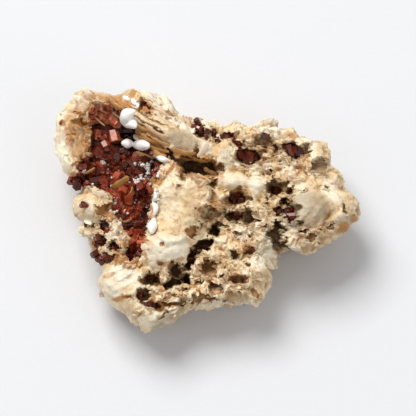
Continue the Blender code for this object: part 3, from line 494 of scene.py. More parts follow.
# Patches, rough then smooth: u, v, half width along and across, turn, and how much from 0 to 1
CRAGS = (
    (226, 262, 42, 34, 0, 1.0), (170, 288, 36, 16, -15, 1.0), (214, 214, 18, 16, 0, 0.8),
    (272, 158, 44, 24, 10, 0.9), (78, 126, 20, 34, 0, 0.55), (104, 94, 26, 9, 5, 0.6),
    (268, 214, 14, 22, 0, 0.8), (322, 234, 30, 10, -30, 0.35), (250, 130, 50, 12, 8, 0.7),
    (96, 240, 20, 24, 0, 0.7), (205, 300, 60, 10, -3, 0.5), (160, 108, 26, 16, 36, 0.7),
)
SMOOTH = (
    (164, 250, 30, 19, -8, 0.9), (181, 210, 19, 34, 8, 0.75), (231, 181, 22, 9, 4, 0.8),
    (256, 186, 10, 13, 0, 0.7), (312, 208, 25, 18, -10, 0.85), (122, 288, 32, 30, 25, 0.85),
    (188, 142, 24, 13, 25, 0.9), (227, 158, 13, 14, 0, 0.7), (254, 270, 15, 13, 20, 0.8),
    (215, 303, 48, 9, -3, 0.7), (83, 208, 13, 14, 0, 0.7), (65, 140, 15, 34, 0, 0.8),
    (342, 206, 16, 22, -25, 0.8), (110, 234, 14, 10, 0, 0.6), (152, 120, 34, 18, 38, 0.6),
    (150, 318, 26, 12, -10, 0.6),
)

# Stains: u, v, half width along and across, turn, strength from 0 to 1
STAINS = (
    (68, 108, 5, 4, 0, 0.7), (67, 118, 5, 5, 0, 0.5), (61, 122, 4, 4, 0, 0.7), (78, 122, 10, 7, 0, 0.9),
    (71, 131, 5, 5, 0, 0.6), (84, 134, 9, 14, 20, 0.6), (87, 166, 14, 9, 20, 0.8),
    (132, 91, 4, 5, 40, 1.0), (144, 104, 9, 9, 40, 0.9), (147, 137, 24, 11, 36, 0.95),
    (184, 154, 18, 5, 15, 1.0), (152, 153, 16, 6, 15, 0.9), (162, 244, 2.4, 2, 0, 1.0),
    (190, 232, 7, 8, 0, 0.6), (106, 211, 13, 8, -10, 0.85), (124, 241, 7, 13, 0, 0.55),
    (108, 276, 8, 3, -15, 0.6), (120, 299, 10, 3, -10, 0.7), (119, 257, 9, 9, 0, 0.55),
    (208, 267, 11, 9, 0, 0.6), (238, 279, 9, 7, 0, 0.7), (246, 250, 10, 6, 0, 0.6),
    (294, 133, 9, 5, 10, 0.6), (303, 166, 6, 5, 0, 0.5), (262, 160, 6, 5, 0, 0.5),
    (163, 180, 14, 2.0, -52, 0.7), (159, 204, 3, 28, 5, 0.35), (200, 174, 14, 5, 25, 0.8),
    (171, 169, 9, 2.2, -50, 0.9), (172, 262, 16, 3, -18, 0.7), (150, 246, 4, 10, 0, 0.5),
    (196, 206, 10, 12, 0, 0.3), (158, 306, 9, 6, 0, 0.8), (79, 212, 5, 6, 0, 0.5),
    (214, 205, 12, 7, 0, 0.5), (120, 98, 14, 6, 25, 0.7), (215, 178, 12, 5, 0, 0.6),
    (240, 193, 14, 5, 0, 0.5), (268, 133, 8, 6, 0, 0.5), (150, 262, 14, 5, -15, 0.4),
    (260, 300, 8, 5, 30, 0.4), (344, 227, 7, 5, -50, 0.7), (355, 218, 5, 4, -50, 0.7),
    (80, 130, 20, 38, 0, 0.62), (104, 98, 24, 10, 5, 0.40), (197, 166, 26, 14, 8, 0.85),
    (92, 140, 9, 26, 5, 0.6), (146, 268, 12, 6, -10, 0.4), (205, 303, 60, 9, -3, 0.3),
    (270, 145, 50, 18, 8, 0.22), (180, 292, 44, 14, -10, 0.3), (322, 236, 30, 12, -30, 0.3),
    (222, 214, 34, 14, 0, 0.24), (236, 155, 4, 12, 10, 0.3), (212, 152, 6, 10, 30, 0.4),
    (96, 238, 8, 8, 0, 0.3),
)

# Grey, silvery patches, partly the rock's own grey and partly painted shade on the front rim and on
# faces
# turned from the light: u, v, half width along and across, turn, strength
GREY_AND_SHADE_PATCHES = (
    (184, 142, 19, 10, 25, 1.1), (323, 166, 10, 10, 0, 1.0), (346, 226, 14, 11, 0, 0.7),
    (84, 212, 12, 9, 0, 0.6), (228, 158, 11, 14, 0, 0.4), (306, 212, 28, 20, -10, 1.1),
    (272, 232, 14, 16, 0, 0.8), (208, 303, 56, 7, -3, 0.25), (168, 322, 18, 9, -20, 0.8),
    (300, 247, 18, 8, -10, 0.7), (66, 135, 5, 8, 0, 0.5), (275, 187, 12, 9, 0, 0.4),
    (236, 215, 22, 10, 0, 0.4),
)

# Clean, nearly white patches, partly the rock's own pale tone and partly a painted highlight where the
# light falls brightest: u, v, half width along and across, turn, strength
PALE_AND_HIGHLIT_PATCHES = (
    (82, 98, 15, 9, -10, 1.0), (63, 150, 9, 20, 10, 0.9), (62, 118, 7, 13, 0, 0.7),
    (158, 98, 18, 7, 25, 1.0), (186, 124, 22, 5, 24, 0.9), (166, 250, 28, 14, -8, 0.9),
    (124, 276, 15, 11, 0, 1.0), (110, 290, 12, 10, 0, 0.6), (262, 258, 12, 14, 20, 0.9),
    (234, 179, 20, 6, 4, 0.6), (256, 182, 8, 10, 0, 0.7), (228, 158, 9, 11, 0, 0.6),
    (266, 124, 24, 5, 10, 0.9), (308, 140, 12, 6, 20, 0.9), (276, 130, 20, 8, 10, 0.5),
    (258, 165, 14, 6, 0, 0.5), (334, 190, 10, 14, 30, 0.7), (300, 190, 12, 8, 0, 0.6),
    (196, 240, 6, 4, 0, 0.6), (112, 235, 10, 6, -20, 0.5), (82, 222, 8, 3, -10, 0.9),
    (172, 200, 12, 24, 6, 0.3), (204, 150, 9, 9, -50, 0.9), (224, 290, 10, 6, 0, 0.5),
    (230, 305, 34, 4, -2, 0.6), (292, 165, 12, 8, 0, 0.5), (148, 322, 16, 6, -10, 0.5),
    (246, 233, 12, 8, 0, 0.5),
)
print(len(FINE_PITS), "small holes,", len(LAYERS), "layered patches,", len(STAINS), "stains")

# %% Shapes of the features
# Edges and walls are shares of a shape's half width; a lobe's numbers are shares of its hole's;
# wobbles say how strongly an edge follows the ragged shift; thin layers end at a depth in
# millimetres
GOLDEN_ANGLE = 2.39996
HOLE_EDGE, HOLE_WALL = 1.16, 0.56
CLEFT_EDGE, CLEFT_WALL = 1.3, 0.8
LOBE_OUT, LOBE_SIZE, LOBE_DEPTH = 0.85, 0.42, 0.7
PEAK_WOBBLE, CLEFT_WOBBLE, FINE_WOBBLE = 0.6, 1.5, 0.7
LAYERS_END = 3.0


def turned(u, v, place, turn):
    """Coordinates along and across a shape at place, turned by some degrees."""
    c, s = math.cos(math.radians(turn)), math.sin(math.radians(turn))
    du, dv = u - place[0], v - place[1]
    return du * c + dv * s, -du * s + dv * c


def placed(u, v, along, across, turn):
    """The way back: the picture place that lies so far along and across a turned shape."""
    c, s = math.cos(math.radians(turn)), math.sin(math.radians(turn))
    return u + along * c - across * s, v + along * s + across * c


def bump(u, v, shape):
    """A smooth round lump: (1 - r^2)^2 inside its oval, 0 outside."""
    along, across = turned(u, v, shape[:2], shape[4])
    r2 = (along / shape[2]) ** 2 + (across / shape[3]) ** 2
    return np.clip(1.0 - r2, 0.0, 1.0) ** 2


def patches(u, v, table):
    """The strongest of the patches at a place: each is flat inside its oval and fades at its edge."""
    strongest = np.zeros(np.shape(u))
    for shape in table:
        along, across = turned(u, v, shape[:2], shape[4])
        r = np.hypot(along / shape[2], across / shape[3])
        strongest = np.maximum(strongest, shape[5] * smooth_step((1.25 - r) / 0.6))
    return strongest


def distance_to_path(u, v, path):
    """Distance to the nearest straight piece of a path."""
    nearest = np.full(np.shape(u), np.inf)
    for (u0, v0), (u1, v1) in zip(path[:-1], path[1:]):
        du, dv = u1 - u0, v1 - v0
        share = np.clip(((u - u0) * du + (v - v0) * dv) / (du * du + dv * dv), 0.0, 1.0)
        nearest = np.minimum(nearest, np.hypot(u - u0 - share * du, v - v0 - share * dv))
    return nearest


def inside_depth(u, v, edge):
    """Distance to a closed edge, above 0 inside it and below 0 outside."""
    inside = np.zeros(np.shape(u), bool)
    for (u0, v0), (u1, v1) in zip(edge, edge[1:] + edge[:1]):
        crosses = (v0 > v) != (v1 > v)
        at = u0 + (v - v0) / (v1 - v0 if v1 != v0 else 1e-9) * (u1 - u0)
        inside ^= crosses & (u < at)
    away = distance_to_path(u, v, edge + edge[:1])
    return np.where(inside, away, -away)


def hollow_depth(u, v):
    """Distance inside the main hollow's edge, with a natural wobble."""
    return inside_depth(u, v, HOLLOW) + 2.2 * picture_noise(u, v, 9.0, 5) + 0.8 * ragged(u, v, 35)


def hollow_floor(u, v):
    """How far the main hollow cuts down, in millimetres."""
    floor = HOLLOW_DEPTH + sum(pool[5] * bump(u, v, pool) for pool in HOLLOW_POOLS)
    return floor * smooth_step((hollow_depth(u, v) + 2.0) / HOLLOW_WALL)


def ragged(u, v, seed):
    """A shift of the picture that makes edges ragged: soft noise and blocks, each of two sizes."""
    flat = np.stack([u / 6.0, v / 6.0, 0.0 * u], axis=-1).reshape(-1, 3)
    blocks = crystal_blocks(flat, seed + 2) - 0.4
    chips = crystal_blocks(2.4 * flat, seed + 6) - 0.4
    shift = (3.4 * blocks + 1.9 * chips).reshape(np.shape(u))
    return 1.9 * picture_noise(u, v, 8.0, seed) + 1.2 * picture_noise(u, v, 3.3, seed + 4) + shift


def with_lobes(table):
    """A table of holes with three smaller ones on the rim of each, a golden angle apart, so that no
    hole keeps the outline of an oval."""
    lobes = []
    for k, (u, v, along, across, turn, depth) in enumerate(table):
        for bearing in GOLDEN_ANGLE * np.arange(3 * k, 3 * k + 3):
            du, dv = LOBE_OUT * along * math.cos(bearing), LOBE_OUT * across * math.sin(bearing)
            lobes.append((*placed(u, v, du, dv, turn), LOBE_SIZE * along, LOBE_SIZE * across,
                          math.degrees(bearing), LOBE_DEPTH * depth))
    return table + tuple(lobes)


def holes(u, v, table, shift_u, shift_v):
    """The deepest hole at a place, in millimetres: a steep wall round a floor of nearly half the
    hole's width."""
    deep = np.zeros(np.shape(u))
    for pit in table:
        a, b = turned(u + shift_u, v + shift_v, pit[:2], pit[4])
        r = np.hypot(a / pit[2], b / pit[3])
        deep = np.maximum(deep, pit[5] * smooth_step((HOLE_EDGE - r) / HOLE_WALL))
    return deep


def layer_steps(u, v):
    """Stacked thin layers, in millimetres: across the layers the height climbs slowly through nine
    tenths of each spacing and drops through the last."""
    total = np.zeros(np.shape(u))
    for shape in LAYERS:
        along, across = turned(u, v, shape[:2], shape[4])
        r = np.hypot(along / shape[2], across / shape[3])
        bent = across + 3.6 * picture_noise(u, v, 19.0, 61) + 0.7 * picture_noise(u, v, 4.5, 62)
        phase = bent / shape[5] + 0.02 * along
        part = phase - np.floor(phase)
        saw = np.minimum(part / 0.88, (1.0 - part) / 0.12)
        uneven = 0.55 + 0.45 * spread(np.floor(phase).astype(np.int64), 0, 0, 63)
        total += shape[6] * uneven * (saw - 0.5) * smooth_step((1.2 - r) / 0.5)
    return total


def top_height(u, v):
    """Height of the rock's top towards the eye, in millimetres, from the middle plane, and how deep
    its holes are there: broad noise, plus the lumps, the peak and the thin layers, less the deepest
    of the holes, the clefts and the main hollow."""
    wobble_u, wobble_v = ragged(u, v, 11), ragged(u, v, 21)
    height = 1.3 * picture_noise(u, v, 34.0, 13)
    for lump in LUMPS:
        height = height + lump[5] * bump(u, v, lump)
    inside = inside_depth(u + PEAK_WOBBLE * wobble_u, v + PEAK_WOBBLE * wobble_v, PEAK_EDGE)
    fade = 1.0 - 0.75 * smooth_step((v - PEAK_ROWS[0]) / (PEAK_ROWS[1] - PEAK_ROWS[0]))
    height = height + PEAK_HEIGHT * fade * smooth_step(0.5 + inside / PEAK_WALL)
    deep = np.maximum(hollow_floor(u, v), holes(u, v, with_lobes(PITS), wobble_u, wobble_v))
    for half, depth, path in CLEFTS:
        away = distance_to_path(u + CLEFT_WOBBLE * wobble_u, v + CLEFT_WOBBLE * wobble_v, path) / half
        deep = np.maximum(deep, depth * smooth_step((CLEFT_EDGE - away) / CLEFT_WALL))
    deep = np.maximum(deep, holes(u, v, FINE_PITS, FINE_WOBBLE * wobble_u, FINE_WOBBLE * wobble_v))
    shown = 1.0 - smooth_step(deep / LAYERS_END)
    return height - deep + layer_steps(u, v) * shown, deep


peak = top_height(np.array([177.0]), np.array([176.0]))[0][0]
print("peak stands", round(float(peak), 2), "mm high")

# %% [markdown]
# ## The rock
# The lump could be sculpted, but a formula keeps every hole where it belongs and can be made finer
# at will. The top is a square grid laid on a disc and drawn out to the outline; the wall is a set of
# rings that runs from the outline down to the flat cut that it rests on. Both are then pushed
# outwards by crystal blocks of several sizes, less where the rock is smooth.

# %% Sheets of the rock
# Tilt of the rock's middle plane, how far the rim lies below it in millimetres, how far the wall is
# carried below the cut, and the arc over which the foot rounds off the outline
TOP_TILT = 0.25
SIDE_DROP = 5.2
FRONT_DROP = 8.5
BELOW_CUT = 2.0
FOOT_ARC = math.radians(22.0)
TOP_SQUARES = 256
WALL_RINGS = 30
RIM_SQUARES = (0.9, 0.955)
# Width of the round shoulder at the back in units, and how much more it is at the front; then how
# far in the foot stands, as a share of the outline, and how much that changes from back to front
SHOULDER_BACK, SHOULDER_MORE = 19.0, 9.0
FOOT, FOOT_SHIFT = 0.74, 0.10
# Crystal blocks: width and height in metres, seed, and the level that moves nothing
WALL_BLOCKS = (0.0115, 0.0045, 23, 0.35)
BROAD_BLOCKS = (0.0052, 0.0024, 31, 0.38)
SMALL_BLOCKS = (0.0024, 0.0013, 47, 0.40)
FINEST_BLOCKS = (0.0011, 0.00075, 53, 0.40)
# Pores: spacing and depth in metres, and seed
PORES = (0.0021, 0.0009, 71)
WIDE_PORES = (0.0046, 0.0021, 73)


def outline_reach(angle):
    """Distance from the hub to the outline, in picture units, at each angle."""
    points = np.array(OUTLINE, float) - HUB
    angles = np.arctan2(points[:, 1], points[:, 0])
    order = np.argsort(angles)
    reach = np.hypot(points[:, 0], points[:, 1])
    return np.interp(angle, angles[order], reach[order], period=2.0 * math.pi)


def foot_reach(angle):
    """The outline with its corners worn away: the mean reach over a wide arc."""
    steps = np.linspace(-FOOT_ARC, FOOT_ARC, 9)
    return sum(outline_reach(angle + step) for step in steps) / len(steps)


def sheet_grid(squares):
    """A square grid laid on a disc: how far out each point is, 0 to 1, and its angle. The squares
    are narrower near the rim, where the rock falls steeply."""
    line = np.linspace(-1.0, 1.0, squares + 1)
    a, b = np.meshgrid(line, line)
    out = np.maximum(np.abs(a), np.abs(b))
    level = np.abs(a) >= np.abs(b)
    larger, smaller = np.where(level, a, b), np.where(level, b, a)
    turn = smaller / np.where(larger == 0.0, 1.0, larger) * (math.pi / 4.0)
    angle = np.where(level, turn, math.pi / 2.0 - turn) + np.where(larger < 0.0, math.pi, 0.0)
    return np.interp(out, [0.0, RIM_SQUARES[0], 1.0], [0.0, RIM_SQUARES[1], 1.0]), angle


def upness(angle):
    """1 at the back of the outline, -1 at its front."""
    return -np.sin(angle)


def picture_up(v):
    """How far up the picture a place is, in millimetres."""
    return (EYE_CENTRE[1] - v) * UNIT / MM


def rim_height(angle, v):
    """Height of the outline's edge towards the eye, in millimetres."""
    drop = SIDE_DROP + (FRONT_DROP - SIDE_DROP) * smooth_step(0.5 - 0.9 * upness(angle))
    return -TOP_TILT * picture_up(v) - drop


def top_sheet(out, angle):
    """The top: picture place, height in millimetres, and how deep its holes are. The height falls
    along a quarter round to the rim, over a shoulder that is wider at the front."""
    reach = outline_reach(angle)
    u, v = HUB[0] + out * reach * np.cos(angle), HUB[1] + out * reach * np.sin(angle)
    width = SHOULDER_BACK + SHOULDER_MORE * smooth_step(0.4 - 0.9 * upness(angle))
    t = np.clip((1.0 - out) * reach / width, 0.0, 1.0)
    fall = np.sqrt(np.clip(1.0 - (1.0 - t) ** 2, 0.0, 1.0)) ** 1.15
    height, deep = top_height(u, v)
    rim = rim_height(angle, v)
    top = -TOP_TILT * picture_up(v) + height
    return u, v, rim + (top - rim) * fall, deep


def wall_sheet(turn, angle):
    """The wall: a quarter round from the rim, at turn 0, to below the cut, at turn 1."""
    foot = FOOT - FOOT_SHIFT * upness(angle)
    t = np.cos(turn * math.pi / 2.0)
    out = foot + (1.0 - foot) * t
    reach = foot_reach(angle) + (outline_reach(angle) - foot_reach(angle)) * t**2
    u, v = HUB[0] + out * reach * np.cos(angle), HUB[1] + out * reach * np.sin(angle)
    cut = -picture_up(v) / math.tan(VIEW_ELEVATION) - THICKNESS / MM - BELOW_CUT
    rise = 1.0 - np.sqrt(np.clip(1.0 - t**2, 0.0, 1.0))
    return u, v, out, cut + (rim_height(angle, v) - cut) * rise


def block_relief(place, width, height, seed, level):
    """Crystal blocks of one width: their height above the level, times the height in metres."""
    return height * (crystal_blocks(place / width, seed) - level)


def roughened(points, out, angle, lift, calm, craggy):
    """Points moved outwards by blocks and inwards by pores, how far the small ones moved each, and
    how far it lies in a pore. The widest blocks are on the wall alone. Lift is 1 on the top, where
    outward leans from the eye to the rim, and -1 on the wall. Calm, 0 to 1, holds the blocks back,
    and craggy, 0 to 1, makes the small ones higher."""
    lean = smooth_step((out - 0.72) / 0.28) * (math.pi / 2.0)
    radial = np.stack([np.cos(angle), -np.sin(angle) * SINE, -np.sin(angle) * COSINE], axis=-1)
    outward = np.sin(lean)[:, None] * radial + (lift * np.cos(lean))[:, None] * EYE
    wall = smooth_step((out - 0.80) / 0.12) * smooth_step((1.0 - out) / 0.04) * (lift < 0.0)
    place = points - BOX_SHIFT
    coarse = block_relief(place, *WALL_BLOCKS) * wall
    coarse += block_relief(place, *BROAD_BLOCKS) * (1.0 - 0.6 * calm)
    fine = block_relief(place, *SMALL_BLOCKS) * (1.0 - 0.75 * calm) * (1.0 + 1.1 * craggy)
    fine += block_relief(place, *FINEST_BLOCKS) * (1.0 - 0.7 * calm) * (1.0 + 0.7 * craggy)
    small = pores(place / PORES[0], PORES[2]) * (1.0 - calm) * (0.5 + 0.5 * craggy)
    wide = pores(place / WIDE_PORES[0], WIDE_PORES[2]) * (1.0 - calm) * craggy
    fine -= PORES[1] * small + WIDE_PORES[1] * wide
    return points + outward * (coarse + fine)[:, None], fine, np.maximum(small, wide)


def top_points(out, angle):
    """The top in the model's frame, and its fields: place, depth, fine relief and pores."""
    u, v, height, deep = top_sheet(out, angle)
    row, lift = to_row(u, v, height * MM), np.ones(len(out))
    calm, craggy = patches(u, v, SMOOTH), patches(u, v, CRAGS)
    points, fine, holed = roughened(row, out, angle, lift, calm, craggy)
    return points, {"u": u, "v": v, "deep": deep, "fine": fine, "holed": holed}


def surface(u, v):
    """Points of the rock's top at picture places."""
    u, v = np.atleast_1d(np.asarray(u, float)), np.atleast_1d(np.asarray(v, float))
    angle = np.arctan2(v - HUB[1], u - HUB[0])
    out = np.hypot(u - HUB[0], v - HUB[1]) / outline_reach(angle)
    return top_points(out, angle)[0]


def surface_normal(u, v, step=3.0):
    """The broad slope of the top at picture places: the cross product of two short chords."""
    right = surface(u + step, v) - surface(u - step, v)
    up = surface(u, v - step) - surface(u, v + step)
    normal = np.cross(right, up)
    return normal / np.linalg.norm(normal, axis=1)[:, None]


rim = rim_height(np.array([0.0]), np.array([HUB[1]]))[0]
print("rim stands", round(float(rim), 2), "mm from the middle plane")

# %% Fields that colour the rock
# Pockets: name, u, v, half width along and across, turn, number of crystals, their radius in
# millimetres
POCKETS = (
    ("upper", 200, 129.5, 6.5, 5.0, 20, 9, 1.0),
    ("ridge", 229, 132.5, 7.0, 4.4, 10, 10, 1.1),
    ("upper_middle", 248, 156, 12.5, 7.4, 8, 20, 1.8),
    ("upper_right", 294, 149, 9.5, 9.0, 0, 24, 1.4),
    ("centre", 237, 199, 9.0, 4.8, -5, 9, 1.3),
    ("right_upper", 290, 212, 5.0, 7.4, 0, 12, 1.0),
    ("right_round", 276, 190, 6.5, 4.0, 0, 5, 0.7),
    ("left", 101.5, 226, 6.4, 6.6, 0, 16, 1.2),
    ("left_edge", 103, 258.5, 9.5, 4.0, 0, 26, 1.25),
    ("lower", 150, 304.5, 6.0, 3.0, 5, 10, 0.8),
    ("cleft", 190, 259.5, 3.6, 3.4, 0, 4, 0.9),
)
# Spots of red bed outside the pockets: u, v, half width along and across, turn, strength
RED_SPOTS = (
    (95, 243, 5.0, 8.0, 15, 0.9), (111, 248, 7.5, 5.0, 0, 0.8), (84, 205, 6.0, 3.0, 20, 0.6),
    (144, 103, 5.0, 6.0, 40, 0.7), (196, 122, 6.0, 3.6, 0, 0.9), (239, 142, 8.0, 3.6, 35, 0.6),
    (285, 202, 6.0, 5.0, 0, 0.8), (278, 210, 5.0, 3.6, 0, 0.8), (289, 191, 3.6, 4.0, 0, 0.8),
    (262, 136, 3.0, 2.6, 0, 0.5), (208, 213, 4.0, 3.0, 0, 0.3), (150, 279, 7.0, 5.0, 0, 0.5),
    (142, 295, 6.0, 4.0, 0, 0.4), (207, 267, 5.0, 4.0, 0, 0.2), (214, 130, 3.0, 4.0, 0, 0.6),
)
POCKET_RED = 0.95
OVALS = tuple((*pocket[1:6], POCKET_RED) for pocket in POCKETS)
# Squares averaged about a point, how much each kind of relief counts, and the depth in millimetres
# that counts as deepest
NEAR_SQUARES, WIDE_SQUARES = 3, 10
NEAR_SHARE, WIDE_SHARE, FINE_SHARE = 0.55, 0.12, 0.62
DEEPEST = 8.0


def blurred(field, reach):
    """The mean of a grid's field over a square of neighbours, from running sums."""
    padded = np.pad(field, reach + 1, mode="edge")
    total = padded.cumsum(axis=0).cumsum(axis=1)
    side = 2 * reach + 1
    a, b = total[side:, side:], total[:-side, :-side]
    window = a - total[:-side, side:] - total[side:, :-side] + b
    return window[: field.shape[0], : field.shape[1]] / side**2


def fine_relief(fine):
    """How far the fine roughness raises a point above the mean, in units of the ridge field."""
    return FINE_SHARE * (fine - fine.mean()) / MM


def top_fields(points, fields, out, squares):
    """What colours the top, each from 0 to 1: how red, how stained and grey it is, how pale, how deep
    and how hollowed or raised it lies against its neighbours. The grey is partly painted shade and the
    pale partly a painted highlight; being hollowed or raised sets a painted shade or a painted
    highlight. Near the rim, where the whole rock falls away, only the fine roughness counts as raised,
    as it does on the wall."""
    u, v = fields["u"], fields["v"]
    height = (points @ EYE / MM).reshape(squares + 1, squares + 1)
    near = (height - blurred(height, NEAR_SQUARES)).ravel()
    wide = (height - blurred(height, WIDE_SQUARES)).ravel()
    rim = smooth_step((out - 0.90) / 0.07)
    raised = (1.0 - rim) * (NEAR_SHARE * near + WIDE_SHARE * wide)
    raised = raised + rim * fine_relief(fields["fine"])
    red = smooth_step((hollow_depth(u, v) + 1.5) / 4.0)
    red = np.maximum(red, patches(u, v, OVALS + RED_SPOTS))
    return {
        "red": red,
        "stain": np.clip(patches(u, v, STAINS) + 0.5 * fields["holed"], 0.0, 1.0),
        "grey": patches(u, v, GREY_AND_SHADE_PATCHES),
        "pale": patches(u, v, PALE_AND_HIGHLIT_PATCHES),
        "deep": np.clip(fields["deep"] / DEEPEST, 0.0, 1.0),
        "ridge": np.clip(0.5 + raised, 0.0, 1.0),
    }


print(len(POCKETS), "pockets and", len(RED_SPOTS), "red spots")

# %% The rock's mesh
SHARP_ANGLE = math.radians(38.0)


def mesh_from_arrays(name, points, triangles, quads):
    """A mesh from arrays of points, three-cornered and four-cornered faces."""
    mesh = bpy.data.meshes.new(name)
    loops = np.concatenate([triangles.ravel(), quads.ravel()]).astype(np.int32)
    sizes = np.concatenate([np.full(len(triangles), 3), np.full(len(quads), 4)]).astype(np.int32)
    mesh.vertices.add(len(points))
    mesh.vertices.foreach_set("co", np.asarray(points, np.float32).ravel())
    mesh.loops.add(len(loops))
    mesh.loops.foreach_set("vertex_index", loops)
    first = np.concatenate([[0], np.cumsum(sizes)[:-1]]).astype(np.int32)
    mesh.polygons.add(len(sizes))
    mesh.polygons.foreach_set("loop_start", first)
    mesh.update(calc_edges=True)
    mesh.validate()
    return mesh


def add_field(mesh, name, values):
    """Keeps a number at each point of a mesh, for its material."""
    made = mesh.attributes.new(name, "FLOAT", "POINT")
    made.data.foreach_set("value", np.asarray(values, np.float32))


def new_piece(name, mesh, finish, replaced=()):
    """Puts a mesh into the scene as a piece that rides on the specimen's one body, in place of the
    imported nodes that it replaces."""
    piece = bpy.data.objects.new(name, mesh)
    mesh.materials.append(finish)
    bpy.context.scene.collection.objects.link(piece)
    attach(piece, "root")
    if replaced:
        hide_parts(*replaced)
    return piece


def rim_order(squares):
    """Indices of a square grid's border, once round in the order of its angle from -45 degrees."""
    row = squares + 1
    line = np.arange(squares)
    right = line * row + squares
    bottom = squares * row + (squares - line)
    left = (squares - line) * row
    top = line
    return np.concatenate([right, bottom, left, top])


def grid_quads(squares):
    """The four corners of each square of a grid, row after row."""
    row = squares + 1
    start = (np.arange(squares)[:, None] * row + np.arange(squares)[None, :]).ravel()
    return np.stack([start, start + row, start + row + 1, start + 1], axis=1)


def rock_mesh():
    """The top grid, the wall's rings below its border, and a fan that closes the cut."""
    out, angle = (field.ravel() for field in sheet_grid(TOP_SQUARES))
    top, fields = top_points(out, angle)
    colours = top_fields(top, fields, out, TOP_SQUARES)
    border = rim_order(TOP_SQUARES)
    count = len(border)
    turn = np.linspace(0.0, 1.0, WALL_RINGS + 1)[1:]
    nets = np.meshgrid(turn, angle[border], indexing="ij")
    ring_turn, ring_angle = (net.ravel() for net in nets)
    u, v, wall_out, height = wall_sheet(ring_turn, ring_angle)
    row = to_row(u, v, height * MM)
    craggy = smooth_step(0.5 + 1.2 * soft_noise(row / 0.011, 83))
    calm = 0.6 * smooth_step(0.3 + 1.5 * soft_noise(row / 0.014, 85)) * (1.0 - craggy)
    wall, fine, holed = roughened(row, wall_out, ring_angle, -np.ones(len(u)), calm, craggy)
    wall[:, 2] = np.maximum(wall[:, 2], 0.0)
    wall[-count:, 2] = 0.0
    middle = np.array([[wall[-count:, 0].mean(), wall[-count:, 1].mean(), 0.0]])
    points = np.concatenate([top, wall, middle])
    rings = np.concatenate([border, len(top) + np.arange(count * WALL_RINGS)]).reshape(-1, count)
    upper, lower, last = rings[:-1], rings[1:], rings[-1]
    bands = np.stack([upper, lower, np.roll(lower, -1, 1), np.roll(upper, -1, 1)], axis=-1)
    fan = np.stack([last, np.full(count, len(points) - 1), np.roll(last, -1)], axis=1)
    quads = np.concatenate([grid_quads(TOP_SQUARES), bands.reshape(-1, 4)])
    mesh = mesh_from_arrays("barite_rock", points, fan, quads)
    # On the wall grey and pale lie at random; its fine relief sets the painted highlight of raised
    # places and the painted shade of low ones.
    side = {
        "red": 0.0 * fine,
        "stain": np.clip(0.5 * holed + 0.5 * smooth_step(2.5 * soft_noise(row / 0.009, 87)), 0.0, 1.0),
        "grey": 0.5 * smooth_step(0.4 + 1.5 * soft_noise(row / 0.012, 89)),
        "pale": 0.8 * smooth_step(3.0 * soft_noise(row / 0.010, 91)),
        "deep": np.clip(holed * 0.35, 0.0, 1.0),
        "ridge": np.clip(0.5 + fine_relief(fine), 0.0, 1.0),
    }
    for name, values in colours.items():
        add_field(mesh, name, np.concatenate([values, side[name], [0.0]]))
    mesh.shade_smooth()
    mesh.set_sharp_from_angle(angle=SHARP_ANGLE)
    return mesh


rock = rock_mesh()
print("rock:", len(rock.vertices), "points,", len(rock.polygons), "faces")

# %% [markdown]
# ## The rock's finish
# Barite is cream to white where it is clean and thin, and tan where iron has soaked in. Its holes turn
# olive tan with depth, partly their own colour and partly painted shade, and the deepest are painted
# near black as shade. The mesh keeps those fields at its points, and noise breaks them up: a stain
# creeps along edges, raised edges get a painted highlight and low places a painted shade. The grey
# patches are partly painted shade and the pale ones partly a painted highlight. The silky sheen comes
# from fine streaks.

# %% Barite finish
# Colours of the barite. The near-white of raised edges is a painted highlight; the crevice brown and
# the near-black of the deepest holes are painted shade; the olive of holes is partly their own tan and
# partly painted shade; the greys are partly painted shade and the clean white partly a painted
# highlight.
TAN, HONEY, CREAM = (0.56, 0.325, 0.12), (0.83, 0.590, 0.315), (0.93, 0.79, 0.53)
ROSE, WHITE_AND_HIGHLIGHT, PAINTED_RIDGE_HIGHLIGHT = (0.80, 0.565, 0.415), (0.98, 0.92, 0.77), (0.985, 0.905, 0.715)
GREY_TONE_AND_SHADE, DARK_GREY_AND_SHADE = (0.46, 0.355, 0.235), (0.40, 0.32, 0.22)
PAINTED_CREVICE_SHADE, VEIN, RUST = (0.29, 0.140, 0.045), (0.56, 0.29, 0.095), (0.54, 0.245, 0.065)
FRECKLE, OLIVE_AND_HOLE_SHADE, PAINTED_HOLE_SHADE = (0.46, 0.19, 0.05), (0.58, 0.415, 0.235), (0.085, 0.036, 0.014)
RED_BED = (0.10, 0.018, 0.008)


